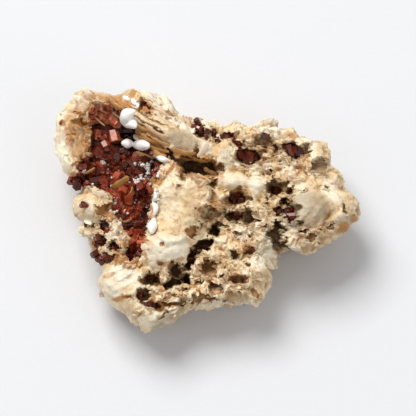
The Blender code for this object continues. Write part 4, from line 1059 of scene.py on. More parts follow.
def barite_finish():
    """Tan to cream, then paler where it is clean and by a painted highlight on raised edges, and darker
    by veins, stains, and painted shade in low places and deep holes.
    """
    barite = Finish("barite")
    where = barite.place()
    red, stain = barite.field("red"), barite.field("stain")
    grey, deep, ridge, pale = (barite.field(name) for name in ("grey", "deep", "ridge", "pale"))
    broad = barite.noise(where, 130.0, 3.0)
    middle = barite.noise(where, 460.0, 5.0, 0.6)
    fine = barite.noise(where, 1700.0, 6.0, 0.7)
    drawn_out = barite.stretched(where, (380.0, 2600.0, 900.0), (0.0, 0.0, 0.5))
    streaks = barite.noise(drawn_out, 1.0, 3.0)
    rosy = barite.noise(where, 210.0, 2.0)
    patchy = (broad * 0.6 + middle * 0.9).step(0.46, 0.82)
    body = barite.mix(TAN, HONEY, patchy)
    # Cream where the barite is clean, with a share of painted highlight on raised edges and pale
    # patches.
    clean_and_highlit = (middle * 0.6 + fine * 0.6 + ridge * 0.3 + pale * 0.35).step(0.62, 1.02)
    body = barite.mix(body, CREAM, clean_and_highlit)
    body = barite.mix(body, ROSE, rosy.step(0.50, 0.66) * 0.6)
    # Nearly white on the pale patches: partly the rock's own white, partly a painted highlight.
    body = barite.mix(body, WHITE_AND_HIGHLIGHT, (pale * (middle * 1.6)).clipped())
    # The grey patches are partly the rock's own grey and partly painted shade.
    body = barite.mix(body, GREY_TONE_AND_SHADE, (grey * (0.2 + 0.9 * middle)).clipped())
    # Painted highlight: raised edges and scattered flecks turn nearly white, as where light catches
    # them.
    painted_ridge_highlight = ridge.step(0.54, 0.95) * 0.75 + fine.step(0.56, 0.8) * 0.3
    body = barite.mix(body, PAINTED_RIDGE_HIGHLIGHT, painted_ridge_highlight.clipped())
    # Darker grey over the same patches: partly the rock's own tone, partly painted shade.
    body = barite.mix(body, DARK_GREY_AND_SHADE, (grey * 0.45).clipped())
    # Painted shade: places lower than their neighbours are darkened to brown, as shade falls there.
    painted_crevice_shade = (1.0 - ridge.step(0.06, 0.48)) * 0.85 * (1.0 - deep * 0.7)
    body = barite.mix(body, PAINTED_CREVICE_SHADE, (painted_crevice_shade * (0.45 + 1.0 * middle)).clipped())
    vein = 1.0 - (barite.noise(where, 150.0, 5.0, 0.65) - 0.5).size() * 28.0
    vein = (vein.clipped() * (broad * 2.4 - 0.8).clipped() * (1.0 - pale * 0.6)).clipped()
    body = barite.mix(body, VEIN, vein * 0.75)
    soaked = (stain * 1.2 + (middle - 0.5) * 1.1 + (broad - 0.5) * 0.7 - ridge * 0.25).step(0.20, 0.70)
    body = barite.mix(body, RUST, (soaked * (0.2 + 1.3 * fine)).clipped())
    freckles = barite.noise(where, 700.0, 2.0).step(0.62, 0.69) * (1.0 - ridge.step(0.4, 0.9))
    body = barite.mix(body, FRECKLE, freckles * 0.75)
    # Holes turn olive tan with depth: partly their walls' own tan, partly painted shade.
    olive_and_hole_shade = (deep.step(0.15, 0.60) * (0.2 + 0.9 * middle)).clipped()
    body = barite.mix(body, OLIVE_AND_HOLE_SHADE, olive_and_hole_shade)
    # Painted shade: the deepest holes are made nearly black.
    painted_hole_shade = (deep.step(0.70, 0.98) * (0.35 + 1.0 * middle)).clipped()
    body = barite.mix(body, PAINTED_HOLE_SHADE, painted_hole_shade)
    bed = (red * 1.25 + (fine - 0.5) * 0.9).step(0.38, 0.8)
    body = barite.mix(body, RED_BED, bed)
    rough = 0.62 - 0.22 * streaks + 0.12 * fine
    relief = barite.bump(fine * 0.55 + middle * 0.45, 0.0009, 0.6)
    relief = barite.bump(streaks, 0.0002, 0.6, relief)
    return barite.shade(base_color=body, roughness=rough, normal=relief, specular_ior_level=0.4)


BARITE = barite_finish()
new_piece("barite_rock", rock, BARITE, ["barite_matrix"])
print("rock dressed")

# %% [markdown]
# ## Red crystals
# Vanadinite grows as short six-sided prisms with flat ends, often in bundles that point the same
# way. One crystal is four rings of twelve points: a hexagon with its corners cut, a shoulder, a rim
# and a sunk end face, as their growth leaves. All crystals of a hollow are worked out at once as
# arrays, because a single formula places and turns every one.

# %% A crystal as four rings
EDGE_CUT = 0.05
RING_HEIGHTS = (0.0, 0.94, 1.0, 0.98)
RING_SIZES = (1.0, 1.0, 0.92, 0.80)
# A little over a full turn: which way a crystal leans or spins is left to chance
FULL_TURN = 6.3


def crystal_ring():
    """Twelve points of a hexagon with cut corners, on the unit circle's plane."""
    corner = np.arange(6) * math.pi / 3.0
    corners = np.stack([np.cos(corner), np.sin(corner)], axis=1)
    before = corners + (np.roll(corners, 1, 0) - corners) * EDGE_CUT
    after = corners + (np.roll(corners, -1, 0) - corners) * EDGE_CUT
    return np.stack([before, after], axis=1).reshape(-1, 2)


def stacks(base, axis, flat, ring_heights, ring_sizes, length):
    """Points, three- and four-cornered faces, and the owner of each point, of many closed pieces.
    A piece is a stack of rings along its axis: the same flat outline, at its own height and size."""
    count, sides = flat.shape[:2]
    rings = len(ring_heights)
    side = np.cross(axis, [0.31, 0.77, 0.55])
    side /= np.linalg.norm(side, axis=1)[:, None]
    across = np.cross(axis, side)
    ring = flat[..., :1] * side[:, None] + flat[..., 1:] * across[:, None]
    heights, sizes = np.array(ring_heights), np.array(ring_sizes)
    lift = (axis * length[:, None])[:, None, None] * heights[None, :, None, None]
    points = base[:, None, None] + ring[:, None] * sizes[None, :, None, None] + lift
    start = (np.arange(count) * rings * sides)[:, None, None]
    ring_start = start + (np.arange(rings - 1) * sides)[None, :, None]
    low = ring_start + np.arange(sides)[None, None]
    after = ring_start + (np.arange(sides) + 1)[None, None] % sides
    quads = np.stack([low, after, after + sides, low + sides], axis=-1).reshape(-1, 4)
    fan = np.arange(1, sides - 1)
    cap = np.stack([np.zeros(sides - 2, int), fan, fan + 1], axis=1)
    triangles = np.concatenate([start + (rings - 1) * sides + cap[None], start + cap[None, :, ::-1]])
    owner = np.repeat(np.arange(count), rings * sides)
    return points.reshape(-1, 3), triangles.reshape(-1, 3), quads, owner


def crystals(base, axis, spin, radius, length):
    """Many hexagonal crystals: the flat outline is turned by each one's spin."""
    ring = crystal_ring()
    c, s = np.cos(spin)[:, None], np.sin(spin)[:, None]
    flat = np.stack([ring[:, 0] * c - ring[:, 1] * s, ring[:, 0] * s + ring[:, 1] * c], axis=-1)
    return stacks(base, axis, flat * radius[:, None, None], RING_HEIGHTS, RING_SIZES, length)


def leaning(normal, lean, turn):
    """Directions that lean from the given ones by an angle, towards turn round them."""
    side = np.cross(normal, [0.11, 0.37, 0.92])
    side /= np.linalg.norm(side, axis=1)[:, None]
    across = np.cross(normal, side)
    flat = np.cos(turn)[:, None] * side + np.sin(turn)[:, None] * across
    return normal * np.cos(lean)[:, None] + flat * np.sin(lean)[:, None]


def between(chance, least, most, count, power=1.0):
    """Random numbers from least to most; a power above 1 makes the small ones common."""
    return least + (most - least) * chance.random(count) ** power


def any_lean(u, v, most, chance):
    """Directions that lean from the rock's slope by up to most degrees, any way round."""
    lean = math.radians(most) * chance.random(len(u))
    return leaning(surface_normal(u, v), lean, FULL_TURN * chance.random(len(u)))


def crystal_mesh(name, u, v, radius, length, axis, sink, tint):
    """A mesh of crystals that stand on the rock at picture places, each sunk into it by a share of
    its radius, with a tint for each."""
    base = surface(u, v) - axis * (sink * radius)[:, None]
    place = [np.round(at * 50).astype(np.int64) for at in (u, v)]
    spin = FULL_TURN * spread(*place, 0, 94)
    points, triangles, quads, owner = crystals(base, axis, spin, radius, length + sink * radius)
    mesh = mesh_from_arrays(name, points, triangles, quads)
    mesh.shade_flat()
    add_field(mesh, "tint", tint[owner])
    return mesh


print("a crystal has", 12 * len(RING_HEIGHTS), "points")

# %% Crystals of the main hollow
# Large crystals placed one by one: u, v, radius and length in millimetres, lean from the eye and its
# bearing in the picture, in degrees, and tint
NAMED_CRYSTALS = (
    (97, 127, 1.75, 3.7, 76, 100, 0.76), (111.5, 128, 1.7, 3.9, 72, 78, 0.80),
    (102, 141, 1.3, 2.4, 60, 60, 0.6), (113, 176, 1.9, 2.6, 58, 20, 0.68),
    (124, 187, 1.4, 2.4, 50, 110, 0.66), (104, 105, 1.3, 2.4, 66, 80, 0.85),
    (97, 150, 1.4, 2.2, 58, 130, 0.55), (78, 180, 1.5, 2.4, 66, 160, 0.36),
    (87, 181, 1.3, 2.2, 70, 100, 0.42), (128, 206, 1.3, 2.2, 52, 60, 0.66),
    (137, 238, 1.4, 2.2, 56, 110, 0.60), (94, 112, 1.2, 2.4, 68, 120, 0.85),
    (107, 187, 1.4, 2.2, 60, 150, 0.66), (130, 225, 1.3, 2.2, 60, 120, 0.62),
    (116, 197, 1.3, 2.2, 58, 100, 0.70), (118, 106, 1.1, 2.0, 60, 20, 0.56),
    (133, 252, 1.3, 2.2, 55, 80, 0.52), (91, 171, 1.3, 2.0, 56, 200, 0.44),
)
CLEARED = 2
CLEARANCE = 0.8
# Spacing of each net in units, and the least and the largest radius on it in millimetres
GRADES = ((2.3, 0.20, 0.58), (4.0, 0.42, 0.95), (7.6, 0.75, 1.40))
NET_FILLED = 0.82
NET_SINK, HAND_SINK = 0.5, -0.45
BUNDLE = 11.0
# Where the red is lit and where it is shaded: u, v, half width along and across, turn, how much
GLOWING = (
    (114, 178, 15, 9, 10, 0.58), (128, 205, 14, 20, -20, 0.72), (101, 120, 16, 19, 0, 1.1),
    (102, 106, 19, 11, 10, 1.15), (136, 240, 12, 16, 0, 0.64), (114, 192, 14, 7, 20, 0.72),
    (98, 150, 12, 12, 0, 0.45),
)
SHADED = (
    (128, 140, 15, 19, 10, 0.95), (124, 117, 9, 10, 30, 0.8), (138, 190, 8, 15, 10, 0.5),
    (80, 178, 14, 6, -10, 0.5), (112, 154, 11, 8, 0, 0.5), (130, 168, 10, 10, 0, 0.5),
    (150, 170, 8, 10, 0, 0.6),
)


def picture_lean(lean, bearing):
    """Directions that lean from the eye by an angle, towards a bearing in the picture."""
    flat = np.stack([np.cos(bearing), -np.sin(bearing) * SINE, -np.sin(bearing) * COSINE], axis=-1)
    return np.cos(lean)[:, None] * EYE + np.sin(lean)[:, None] * flat


def scattered(edge_low, edge_high, spacing, chance):
    """Places on a square net, each moved by up to half a spacing."""
    lines = [np.arange(edge_low[k], edge_high[k], spacing) for k in (0, 1)]
    u, v = np.meshgrid(*lines)
    shift = (chance.random((2, u.size)) - 0.5) * spacing
    return u.ravel() + shift[0], v.ravel() + shift[1]


def bundle_turns(u, v, chance):
    """Crystals in one square of the picture lean nearly the same way."""
    a, b = np.floor(u / BUNDLE).astype(np.int64), np.floor(v / BUNDLE).astype(np.int64)
    turn = 2.0 * math.pi * spread(a, b, 0, 91) + (chance.random(len(u)) - 0.5) * 1.2
    lean = math.radians(70.0) * spread(a, b, 1, 92) + (chance.random(len(u)) - 0.3) * 0.5
    return lean, turn


def hollow_tint(u, v, chance):
    """How light each crystal is: the lit and the shaded parts of the hollow, and chance."""
    base = 0.42 + 0.30 * picture_noise(u, v, 12.0, 93) + 0.34 * (chance.random(len(u)) - 0.5)
    lit = np.maximum(base, base * 0.4 + 0.7 * patches(u, v, GLOWING))
    return np.clip(lit * (1.0 - 0.85 * patches(u, v, SHADED)), 0.0, 1.0)


def clear_of_named(u, v):
    """Distance, in units, to the edge of the nearer of the two largest crystals, which lie on
    their sides: the distance to the line along each, less its radius."""
    nearest = np.full(len(u), np.inf)
    for place in NAMED_CRYSTALS[:CLEARED]:
        along, across = turned(u, v, place[:2], place[5])
        half = 0.5 * place[3] * MM / UNIT
        beyond = np.clip(np.abs(along - half) - half, 0.0, None)
        nearest = np.minimum(nearest, np.hypot(beyond, across) - place[2] * MM / UNIT)
    return nearest


def hollow_crystals():
    """The main hollow's crystals: three sizes on finer and finer nets, then the large ones listed
    one by one."""
    chance = np.random.default_rng(14)
    low, high = np.min(HOLLOW, axis=0) - 6.0, np.max(HOLLOW, axis=0) + 6.0
    parts = []
    for spacing, least, most in GRADES:
        u, v = scattered(low, high, spacing, chance)
        held = hollow_depth(u, v) > 0.5 * spacing - 2.0 + 3.0 * chance.random(len(u))
        held &= chance.random(len(u)) < NET_FILLED
        held &= clear_of_named(u, v) > CLEARANCE * most
        u, v = u[held], v[held]
        radius = between(chance, least, most, len(u), 1.6) * MM
        length = radius * between(chance, 0.8, 3.0, len(u))
        axis = leaning(surface_normal(u, v), *bundle_turns(u, v, chance))
        sink = np.full(len(u), NET_SINK)
        parts.append((u, v, radius, length, axis, sink, hollow_tint(u, v, chance)))
    u, v, radius, length, lean, bearing, tint = np.array(NAMED_CRYSTALS, float).T
    axis = picture_lean(np.radians(lean), np.radians(bearing))
    parts.append((u, v, radius * MM, length * MM, axis, np.full(len(u), HAND_SINK), tint))
    columns = [np.concatenate(column) for column in zip(*parts)]
    return crystal_mesh("hollow_crystals", *columns), len(columns[0])


print(len(NAMED_CRYSTALS), "crystals by hand and", len(GRADES), "nets of smaller ones")

# %% Vanadinite finish
# From the nearly black red of shade to the orange red of a lit face
REDS = (
    (0.0, (0.016, 0.003, 0.001)), (0.3, (0.10, 0.014, 0.005)), (0.6, (0.29, 0.042, 0.014)),
    (0.82, (0.52, 0.120, 0.050)), (1.0, (0.70, 0.27, 0.15)),
)


def vanadinite_finish():
    """Deep red with a lustre almost like a metal's: every crystal has its own tint, and clouds of
    darker red lie inside it. Fine growth lines break up the reflections."""
    red = Finish("vanadinite")
    where = red.place()
    tint = red.field("tint")
    cloud = red.noise(where, 900.0, 3.0)
    fine = red.noise(where, 4200.0, 3.0)
    share = (tint + (cloud - 0.5) * 0.7).clipped()
    colour = red.add("ShaderNodeValToRGB", {"stops": REDS}, {"Fac": share})
    rough = 0.10 + 0.18 * cloud
    relief = red.bump(fine * 0.5 + cloud * 0.5, 0.0001, 0.4)
    return red.shade(base_color=colour, roughness=rough, normal=relief, ior=1.55)


VANADINITE = vanadinite_finish()
mesh, count = hollow_crystals()
new_piece("hollow_crystals", mesh, VANADINITE, ["vanadinite_crust"])
print("main hollow:", count, "crystals,", len(mesh.polygons), "faces")

# %% Crystals of the pockets
POCKET_FILLED = 0.85
SMALL_SINK = 0.4


def pocket_mesh(name, u, v, along, across, turn, count, size):
    """A pocket's crystals, on a spiral whose steps turn by the golden angle."""
    chance = np.random.default_rng(int(u * 10) + int(v))
    k = np.arange(count)
    share = np.sqrt((k + 0.3) / count)
    bearing = GOLDEN_ANGLE * k + chance.random(count)
    du = along * POCKET_FILLED * share * np.cos(bearing)
    dv = across * POCKET_FILLED * share * np.sin(bearing)
    u, v = placed(u, v, du, dv, turn)
    radius = size * between(chance, 0.45, 1.0, count, 1.3) * MM
    length = radius * between(chance, 0.9, 2.1, count)
    axis = any_lean(u, v, 65.0, chance)
    tint = between(chance, 0.06, 0.44, count)
    return crystal_mesh("pocket_" + name, u, v, radius, length, axis, SMALL_SINK, tint)


for pocket in POCKETS:
    new_piece("crystals_" + pocket[0], pocket_mesh(*pocket), VANADINITE,
              ["vanadinite_pocket_" + pocket[0]])
print(len(POCKETS), "pockets filled")

# %% Crystals strewn outside the pockets
# Spots: u, v, half width along and across, turn, and how densely they are covered
SPOTS = (
    (95, 246, 4.0, 9.0, 15, 0.9), (111, 248, 6.0, 4.0, 0, 0.7), (99, 238, 5.0, 4.0, 0, 0.6),
    (84, 205, 4.5, 2.4, 20, 0.5), (144, 103, 3.4, 4.4, 40, 0.5), (196, 122.5, 6.0, 3.4, 0, 0.9),
    (209, 130, 8.5, 4.6, 5, 0.8), (237, 142, 8.0, 3.6, 35, 0.7), (285, 201, 5.5, 4.2, 0, 0.8),
    (278, 210, 4.4, 3.4, 0, 0.8), (290, 191, 3.4, 3.6, 0, 0.8), (262, 136, 2.2, 2.0, 0, 0.8),
    (150, 279, 6.5, 4.6, 0, 0.5), (142, 296, 5.5, 3.8, 0, 0.4), (189, 262, 4.0, 3.0, 0, 0.5),
    (104, 152, 34, 6, 75, 0.12), (88, 104, 5, 4, 0, 0.4), (160, 306, 5, 3, 0, 0.5),
    (306, 147, 4, 4, 0, 0.5), (275, 147, 3.4, 4, 0, 0.4), (236, 214, 10, 4, 0, 0.15),
    (88, 226, 4, 3, -30, 0.4),
)
SPOT_NET = 2.9
SPOT_CRYSTAL = (0.35, 1.05)
SPOT_MARGIN = 2.0


def strewn_crystals():
    """Small crystals on the red spots, on a net of their own."""
    chance = np.random.default_rng(61)
    u, v = scattered((78, 92), (320, 314), SPOT_NET, chance)
    held = chance.random(len(u)) < patches(u, v, SPOTS)
    held &= inside_depth(u, v, OUTLINE) > SPOT_MARGIN
    u, v = u[held], v[held]
    radius = between(chance, *SPOT_CRYSTAL, len(u), 1.5) * MM
    length = radius * between(chance, 1.0, 2.3, len(u))
    axis = any_lean(u, v, 70.0, chance)
    tint = between(chance, 0.10, 0.50, len(u))
    return crystal_mesh("strewn_crystals", u, v, radius, length, axis, SMALL_SINK, tint), len(u)


mesh, count = strewn_crystals()
new_piece("strewn_crystals", mesh, VANADINITE)
print("strewn:", count, "crystals")

# %% [markdown]
# ## White nodules
# The white lumps are smooth and swollen, like drops run together. Each is a tube along a short
# path, with a radius that swells and shrinks along it and closes at both ends, and a little noise
# keeps it from looking turned.

# %% A swollen tube
# Nodules: a name and its tubes. A tube is a path of places u, v and heights above the rock in
# millimetres, and the radius at each in units
NODULES = (
    ("cap", (
        (((130.5, 111.0, 2.4), (126.0, 114.0, 2.8), (127.5, 120.5, 3.0), (133.2, 124.4, 2.8)),
         (5.2, 6.6, 7.2, 5.8)),
    )),
    ("pair", (
        (((124.8, 142.8, 4.2), (128.8, 143.2, 4.2)), (4.8, 5.2)),
        (((135.5, 144.6, 2.8), (141, 144.6, 3.2), (147, 145.4, 2.6)), (5.0, 5.6, 4.6)),
        (((134.5, 135.5, 2.8), (139.5, 138.5, 2.8)), (3.2, 3.2)),
    )),
    ("tail", (
        (((147, 151, 1.4), (152, 153.5, 1.6), (157.5, 156.5, 1.4), (162, 159, 1.8), (167, 159.5, 1.2)),
         (2.4, 2.0, 2.2, 3.4, 2.2)),
    )),
    ("rim", (
        (((121.5, 94, 0.6), (125, 95, 0.8)), (2.8, 2.6)),
        (((131, 97.5, 0.8), (133.5, 101, 0.8)), (2.4, 2.4)),
        (((137.5, 101.5, 0.8), (136.0, 104.0, 0.8)), (1.7, 1.7)),
    )),
    ("ridge", (
        (((155.5, 190, 1.6), (156.5, 196, 1.6), (153.5, 202, 1.6), (156, 208, 1.8), (154.5, 214, 1.4)),
         (2.2, 2.8, 1.7, 3.2, 2.2)),
        (((154, 220.5, 1.6), (152.5, 226, 1.8), (152, 230.5, 1.4)), (3.4, 5.0, 4.0)),
    )),
)
TUBE_RINGS = 22
TUBE_SIDES = 20


def along_path(values, share):
    """A smooth curve through some values: Catmull-Rom, at shares 0 to 1 of the way."""
    values = np.asarray(values, float)
    padded = np.concatenate([[2 * values[0] - values[1]], values, [2 * values[-1] - values[-2]]])
    at = np.clip(share, 0.0, 1.0 - 1e-9) * (len(values) - 1)
    k = np.floor(at).astype(int)
    t = (at - k).reshape((-1,) + (1,) * (values.ndim - 1))
    a, b, c, d = (padded[k + j] for j in range(4))
    square, cube = 2 * a - 5 * b + 4 * c - d, 3 * b - a - 3 * c + d
    return 0.5 * (2 * b + (c - a) * t + square * t**2 + cube * t**3)


def swollen_tube(path, radii, seed):
    """Rings of points about a path. Near each end the ring shrinks as sqrt(1 - x^2) and moves on, so
    that the tube closes in a round end."""
    path = np.asarray(path, float)
    on_rock = surface(path[:, 0], path[:, 1]) + EYE * path[:, 2:3] * MM
    turn = np.linspace(0.0, math.pi, TUBE_RINGS)
    share = 0.5 - 0.5 * np.cos(turn)
    middle = along_path(on_rock, share)
    radius = along_path(np.asarray(radii, float), share) * UNIT
    tangent = np.gradient(middle, axis=0)
    tangent /= np.linalg.norm(tangent, axis=1)[:, None]
    side = np.cross(tangent, EYE)
    side /= np.linalg.norm(side, axis=1)[:, None]
    over = np.cross(side, tangent)
    round_end = np.sqrt(np.clip(np.sin(turn), 0.0, 1.0))
    beyond = -np.cos(turn) * (1.0 - np.sin(turn))
    middle = middle + tangent * (beyond * radius * 0.9)[:, None]
    bearing = np.linspace(0.0, 2.0 * math.pi, TUBE_SIDES, endpoint=False)
    c, s = np.cos(bearing)[None, :, None], np.sin(bearing)[None, :, None]
    ring = c * side[:, None] + s * over[:, None]
    points = middle[:, None] + ring * (radius * round_end)[:, None, None]
    flat = points.reshape(-1, 3)
    swell = 0.10 * soft_noise(flat / 0.0011, seed) + 0.05 * soft_noise(flat / 0.0004, seed + 1)
    swell = swell * np.repeat(round_end, TUBE_SIDES)
    flat = flat + (ring * radius[:, None, None]).reshape(-1, 3) * swell[:, None]
    return closed_rings(flat.reshape(TUBE_RINGS, TUBE_SIDES, 3))


def closed_rings(rings):
    """Faces between rings of points, with both ends closed by a fan about a middle point."""
    count, sides = rings.shape[:2]
    points = np.concatenate([rings.reshape(-1, 3), rings[:1].mean(1), rings[-1:].mean(1)])
    index = np.arange(count * sides).reshape(count, sides)
    low, high = index[:-1], index[1:]
    quads = np.stack([low, high, np.roll(high, -1, 1), np.roll(low, -1, 1)], axis=-1).reshape(-1, 4)
    first, last = count * sides, count * sides + 1
    start, end = index[0], index[-1]
    caps = [np.stack([np.full(sides, first), start, np.roll(start, -1)], axis=1)]
    caps.append(np.stack([np.full(sides, last), np.roll(end, -1), end], axis=1))
    return points, np.concatenate(caps), quads


def gathered(name, shapes):
    """One mesh from several lists of points and faces."""
    first = np.cumsum([0] + [len(points) for points, triangles, quads in shapes])
    points = np.concatenate([shape[0] for shape in shapes])
    triangles = np.concatenate([shape[1] + start for shape, start in zip(shapes, first)])
    quads = np.concatenate([shape[2] + start for shape, start in zip(shapes, first)])
    return mesh_from_arrays(name, points, triangles.reshape(-1, 3), quads.reshape(-1, 4))


def outward(mesh):
    """Turns every face of a closed mesh outwards."""
    shape = bmesh.new()
    shape.from_mesh(mesh)
    bmesh.ops.recalc_face_normals(shape, faces=shape.faces)
    shape.to_mesh(mesh)
    shape.free()
    return mesh


# %% Nodule finish and pieces
def nodule_finish():
    """Chalky white with a skin of faint pits, a little grey in them."""
    white = Finish("white_nodule")
    where = white.place()
    skin = white.noise(where, 2600.0, 3.0)
    broad = white.noise(where, 500.0, 2.0)
    chalky = (skin * 0.9 + broad * 0.7).step(0.42, 0.80)
    colour = white.mix((0.80, 0.77, 0.72), (0.985, 0.975, 0.95), chalky)
    relief = white.bump(skin, 0.00012, 0.5)
    return white.shade(base_color=colour, roughness=0.5 + 0.2 * skin, normal=relief)


WHITE = nodule_finish()
for seed, (name, tubes) in enumerate(NODULES):
    shapes = [swollen_tube(path, radii, 100 + 10 * seed + k) for k, (path, radii) in enumerate(tubes)]
    mesh = outward(gathered("nodule_" + name, shapes))
    mesh.shade_smooth()
    new_piece("nodule_" + name, mesh, WHITE, ["white_nodule_" + name])
print(len(NODULES), "nodules laid")

# %% [markdown]
# ## White druse
# Below the nodules the hollow's wall carries a grey-white crust of tiny blunt grains. A grain is an
# uneven ball of a few rings, and the patches are filled with them on a fine net.

# %% Druse grains
# Patches: u, v, half width along and across, turn, and how densely they are covered
DRUSE = (
    (145, 163, 11, 5.0, 15, 1.0), (152, 175, 7, 6.5, 50, 1.0), (139, 182, 6.5, 6.5, 0, 1.0),
    (105, 162, 5.5, 2.6, -10, 0.9), (156, 198, 2.6, 12, 0, 0.6), (111, 165, 2.0, 2.0, 0, 0.6),
    (148, 184, 5.0, 3.0, -20, 0.5), (128, 214, 22, 44, -10, 0.05), (108, 176, 26, 14, 0, 0.04),
)
DRUSE_NET = 1.25
DRUSE_GRAIN = (0.20, 0.52)
GRAIN_RINGS = 5
GRAIN_SIDES = 7


def grains(u, v, radius, lift, seed):
    """Small uneven balls on the rock: rings at even angles from pole to pole, pushed in and out."""
    centre = surface(u, v) + EYE * (lift * radius)[:, None]
    polar = np.linspace(0.25, math.pi - 0.25, GRAIN_RINGS)
    bearing = np.linspace(0.0, 2.0 * math.pi, GRAIN_SIDES, endpoint=False)
    a, b = np.meshgrid(polar, bearing, indexing="ij")
    ball = np.stack([np.sin(a) * np.cos(b), np.sin(a) * np.sin(b), np.cos(a)], axis=-1).reshape(-1, 3)
    chance = np.random.default_rng(seed)
    push = 0.62 + 0.76 * chance.random((len(u), len(ball), 1))
    points = centre[:, None] + ball[None] * radius[:, None, None] * push
    triangles, quads = closed_rings(points[0].reshape(GRAIN_RINGS, GRAIN_SIDES, 3))[1:]
    poles = np.stack([points[:, :GRAIN_SIDES].mean(1), points[:, -GRAIN_SIDES:].mean(1)], axis=1)
    every = np.concatenate([points, poles], axis=1)
    start = (np.arange(len(u)) * every.shape[1])[:, None, None]
    triangles, quads = triangles[None] + start, quads[None] + start
    return every.reshape(-1, 3), triangles.reshape(-1, 3), quads.reshape(-1, 4)


def druse_mesh():
    """Grains on a fine net over the druse's patches, standing up to three radii above the rock."""
    chance = np.random.default_rng(33)
    u, v = scattered((84, 96), (168, 262), DRUSE_NET, chance)
    held = chance.random(len(u)) < patches(u, v, DRUSE) * 0.9
    u, v = u[held], v[held]
    radius = between(chance, *DRUSE_GRAIN, len(u), 1.5) * MM
    lift = between(chance, 0.8, 3.0, len(u))
    return outward(gathered("druse", [grains(u, v, radius, lift, 34)])), len(u)


def druse_finish():
    """Grey-white, glassy in spots, with brown showing between the grains."""
    grey = Finish("white_druse")
    where = grey.place()
    cloud = grey.noise(where, 700.0, 3.0)
    colour = grey.mix((0.46, 0.41, 0.36), (0.92, 0.90, 0.87), cloud.step(0.35, 0.60))
    relief = grey.bump(cloud, 0.0001, 0.5)
    return grey.shade(base_color=colour, roughness=0.35 + 0.2 * cloud, normal=relief)


mesh, count = druse_mesh()
new_piece("white_druse", mesh, druse_finish(), ["white_nodule_druse"])
print("druse:", count, "grains,", len(mesh.polygons), "faces")

# %% [markdown]
# ## Blades
# Thin golden plates of barite stick out of the hollow's walls and stand over the dark cleft beside
# the peak. A blade is a bowed plate that thins to its edges: its cross-section, a flat lens, is
# carried along the blade, and the blade's own outline sets how wide the lens is at each place.

# %% Blades on the rock
# Blades: u, v, length, width in units, turn in the picture, lean from the eye in degrees, tint
BLADES = (
    (120, 182.5, 21, 7.5, -32, 30, 0.35), (159, 149.5, 19, 5.5, 14, 35, 0.3),
    (184, 151.5, 26, 6.5, 12, 40, 0.45), (153.5, 181, 10, 6.0, 100, 30, 0.25),
    (148, 155, 26, 7.0, 10, 55, 0.5), (96, 106.5, 20, 2.0, 27, 20, 0.6),
    (115.5, 114, 13, 2.0, 36, 20, 0.65), (98, 120, 15, 1.8, 42, 20, 0.6),
    (98, 193.5, 17, 6.5, 18, 25, 1.0), (131, 191, 9, 3.0, -70, 45, 0.35),
    (127, 221, 11, 3.6, -20, 50, 0.4), (155, 131, 26, 5.0, 33, 45, 0.8),
    (149, 139, 22, 5.5, 30, 50, 0.4), (162, 142, 18, 4.5, 24, 45, 0.55),
    (141, 127, 16, 4.5, 36, 40, 0.5), (203, 150, 18, 7.0, -55, 30, 1.0),
    (88, 171, 14, 3.4, -28, 50, 0.45), (166, 120, 30, 5.0, 37, 45, 1.0),
    (158, 108, 26, 4.5, 36, 50, 1.0), (118, 104, 20, 6.0, 24, 40, 0.4),
    (133, 262, 16, 5.0, -35, 40, 0.5), (182, 157, 20, 4.0, 20, 60, 0.30),
    (198, 159, 22, 5.0, 16, 45, 0.50), (210, 171, 14, 5.0, 24, 35, 0.60),
    (204, 178, 16, 4.0, 30, 30, 0.75),
)
BLADE_RINGS = 16
BLADE_SIDES = 10
# In metres: how thick, how far above the rock, and the least half width at an end
BLADE_THICKNESS = 0.00035
BLADE_LIFT = 0.0006
BLADE_EDGE = 0.00008
# Share of a hole's depth by which a blade over it is raised, and of its length by which it bows
BLADE_FLOAT = 0.36
BLADE_BOW = 0.10
AMBERS = (
    (0.0, (0.24, 0.10, 0.025)), (0.35, (0.46, 0.22, 0.05)), (0.7, (0.70, 0.47, 0.24)),
    (1.0, (0.88, 0.74, 0.58)),
)


def blade(place, seed):
    """Rings of a flat lens along a bowed line. The width goes as the root of 1 - s^8, with a ragged
    edge. The blade stands the higher, the deeper the hole is that it crosses."""
    u, v, length, width, turn, lean = place[:6]
    s = np.linspace(-1.0, 1.0, BLADE_RINGS)
    turn, slope = math.radians(turn), math.radians(lean)
    middle = surface(u, v)
    along = np.array([math.cos(turn), -math.sin(turn) * SINE, -math.sin(turn) * COSINE])
    across = np.cross(EYE, along)
    flat = across * math.cos(slope) + EYE * math.sin(slope)
    face = np.cross(along, flat)
    bow = face * (BLADE_BOW * length * UNIT * (0.6 - s**2))[:, None]
    lift = BLADE_LIFT + BLADE_FLOAT * top_height(np.array([u]), np.array([v]))[1][0] * MM
    spine = middle + along[None] * (s * length * 0.5 * UNIT)[:, None] + bow + EYE * lift
    uneven = 1.0 + 0.22 * soft_noise(np.stack([s * 3.1, 0.0 * s, 0.0 * s], axis=1), 200 + seed)
    taper = np.sqrt(np.clip(1.0 - s**8, 0.0, 1.0))
    half = np.maximum(width * 0.5 * UNIT * taper * uneven, BLADE_EDGE)
    bearing = np.linspace(0.0, 2.0 * math.pi, BLADE_SIDES, endpoint=False)
    thick = 0.5 * BLADE_THICKNESS * np.sqrt(half / half.max())
    lens = np.cos(bearing)[None, :, None] * flat * half[:, None, None]
    lens = lens + np.sin(bearing)[None, :, None] * face * thick[:, None, None]
    return closed_rings(spine[:, None] + lens)


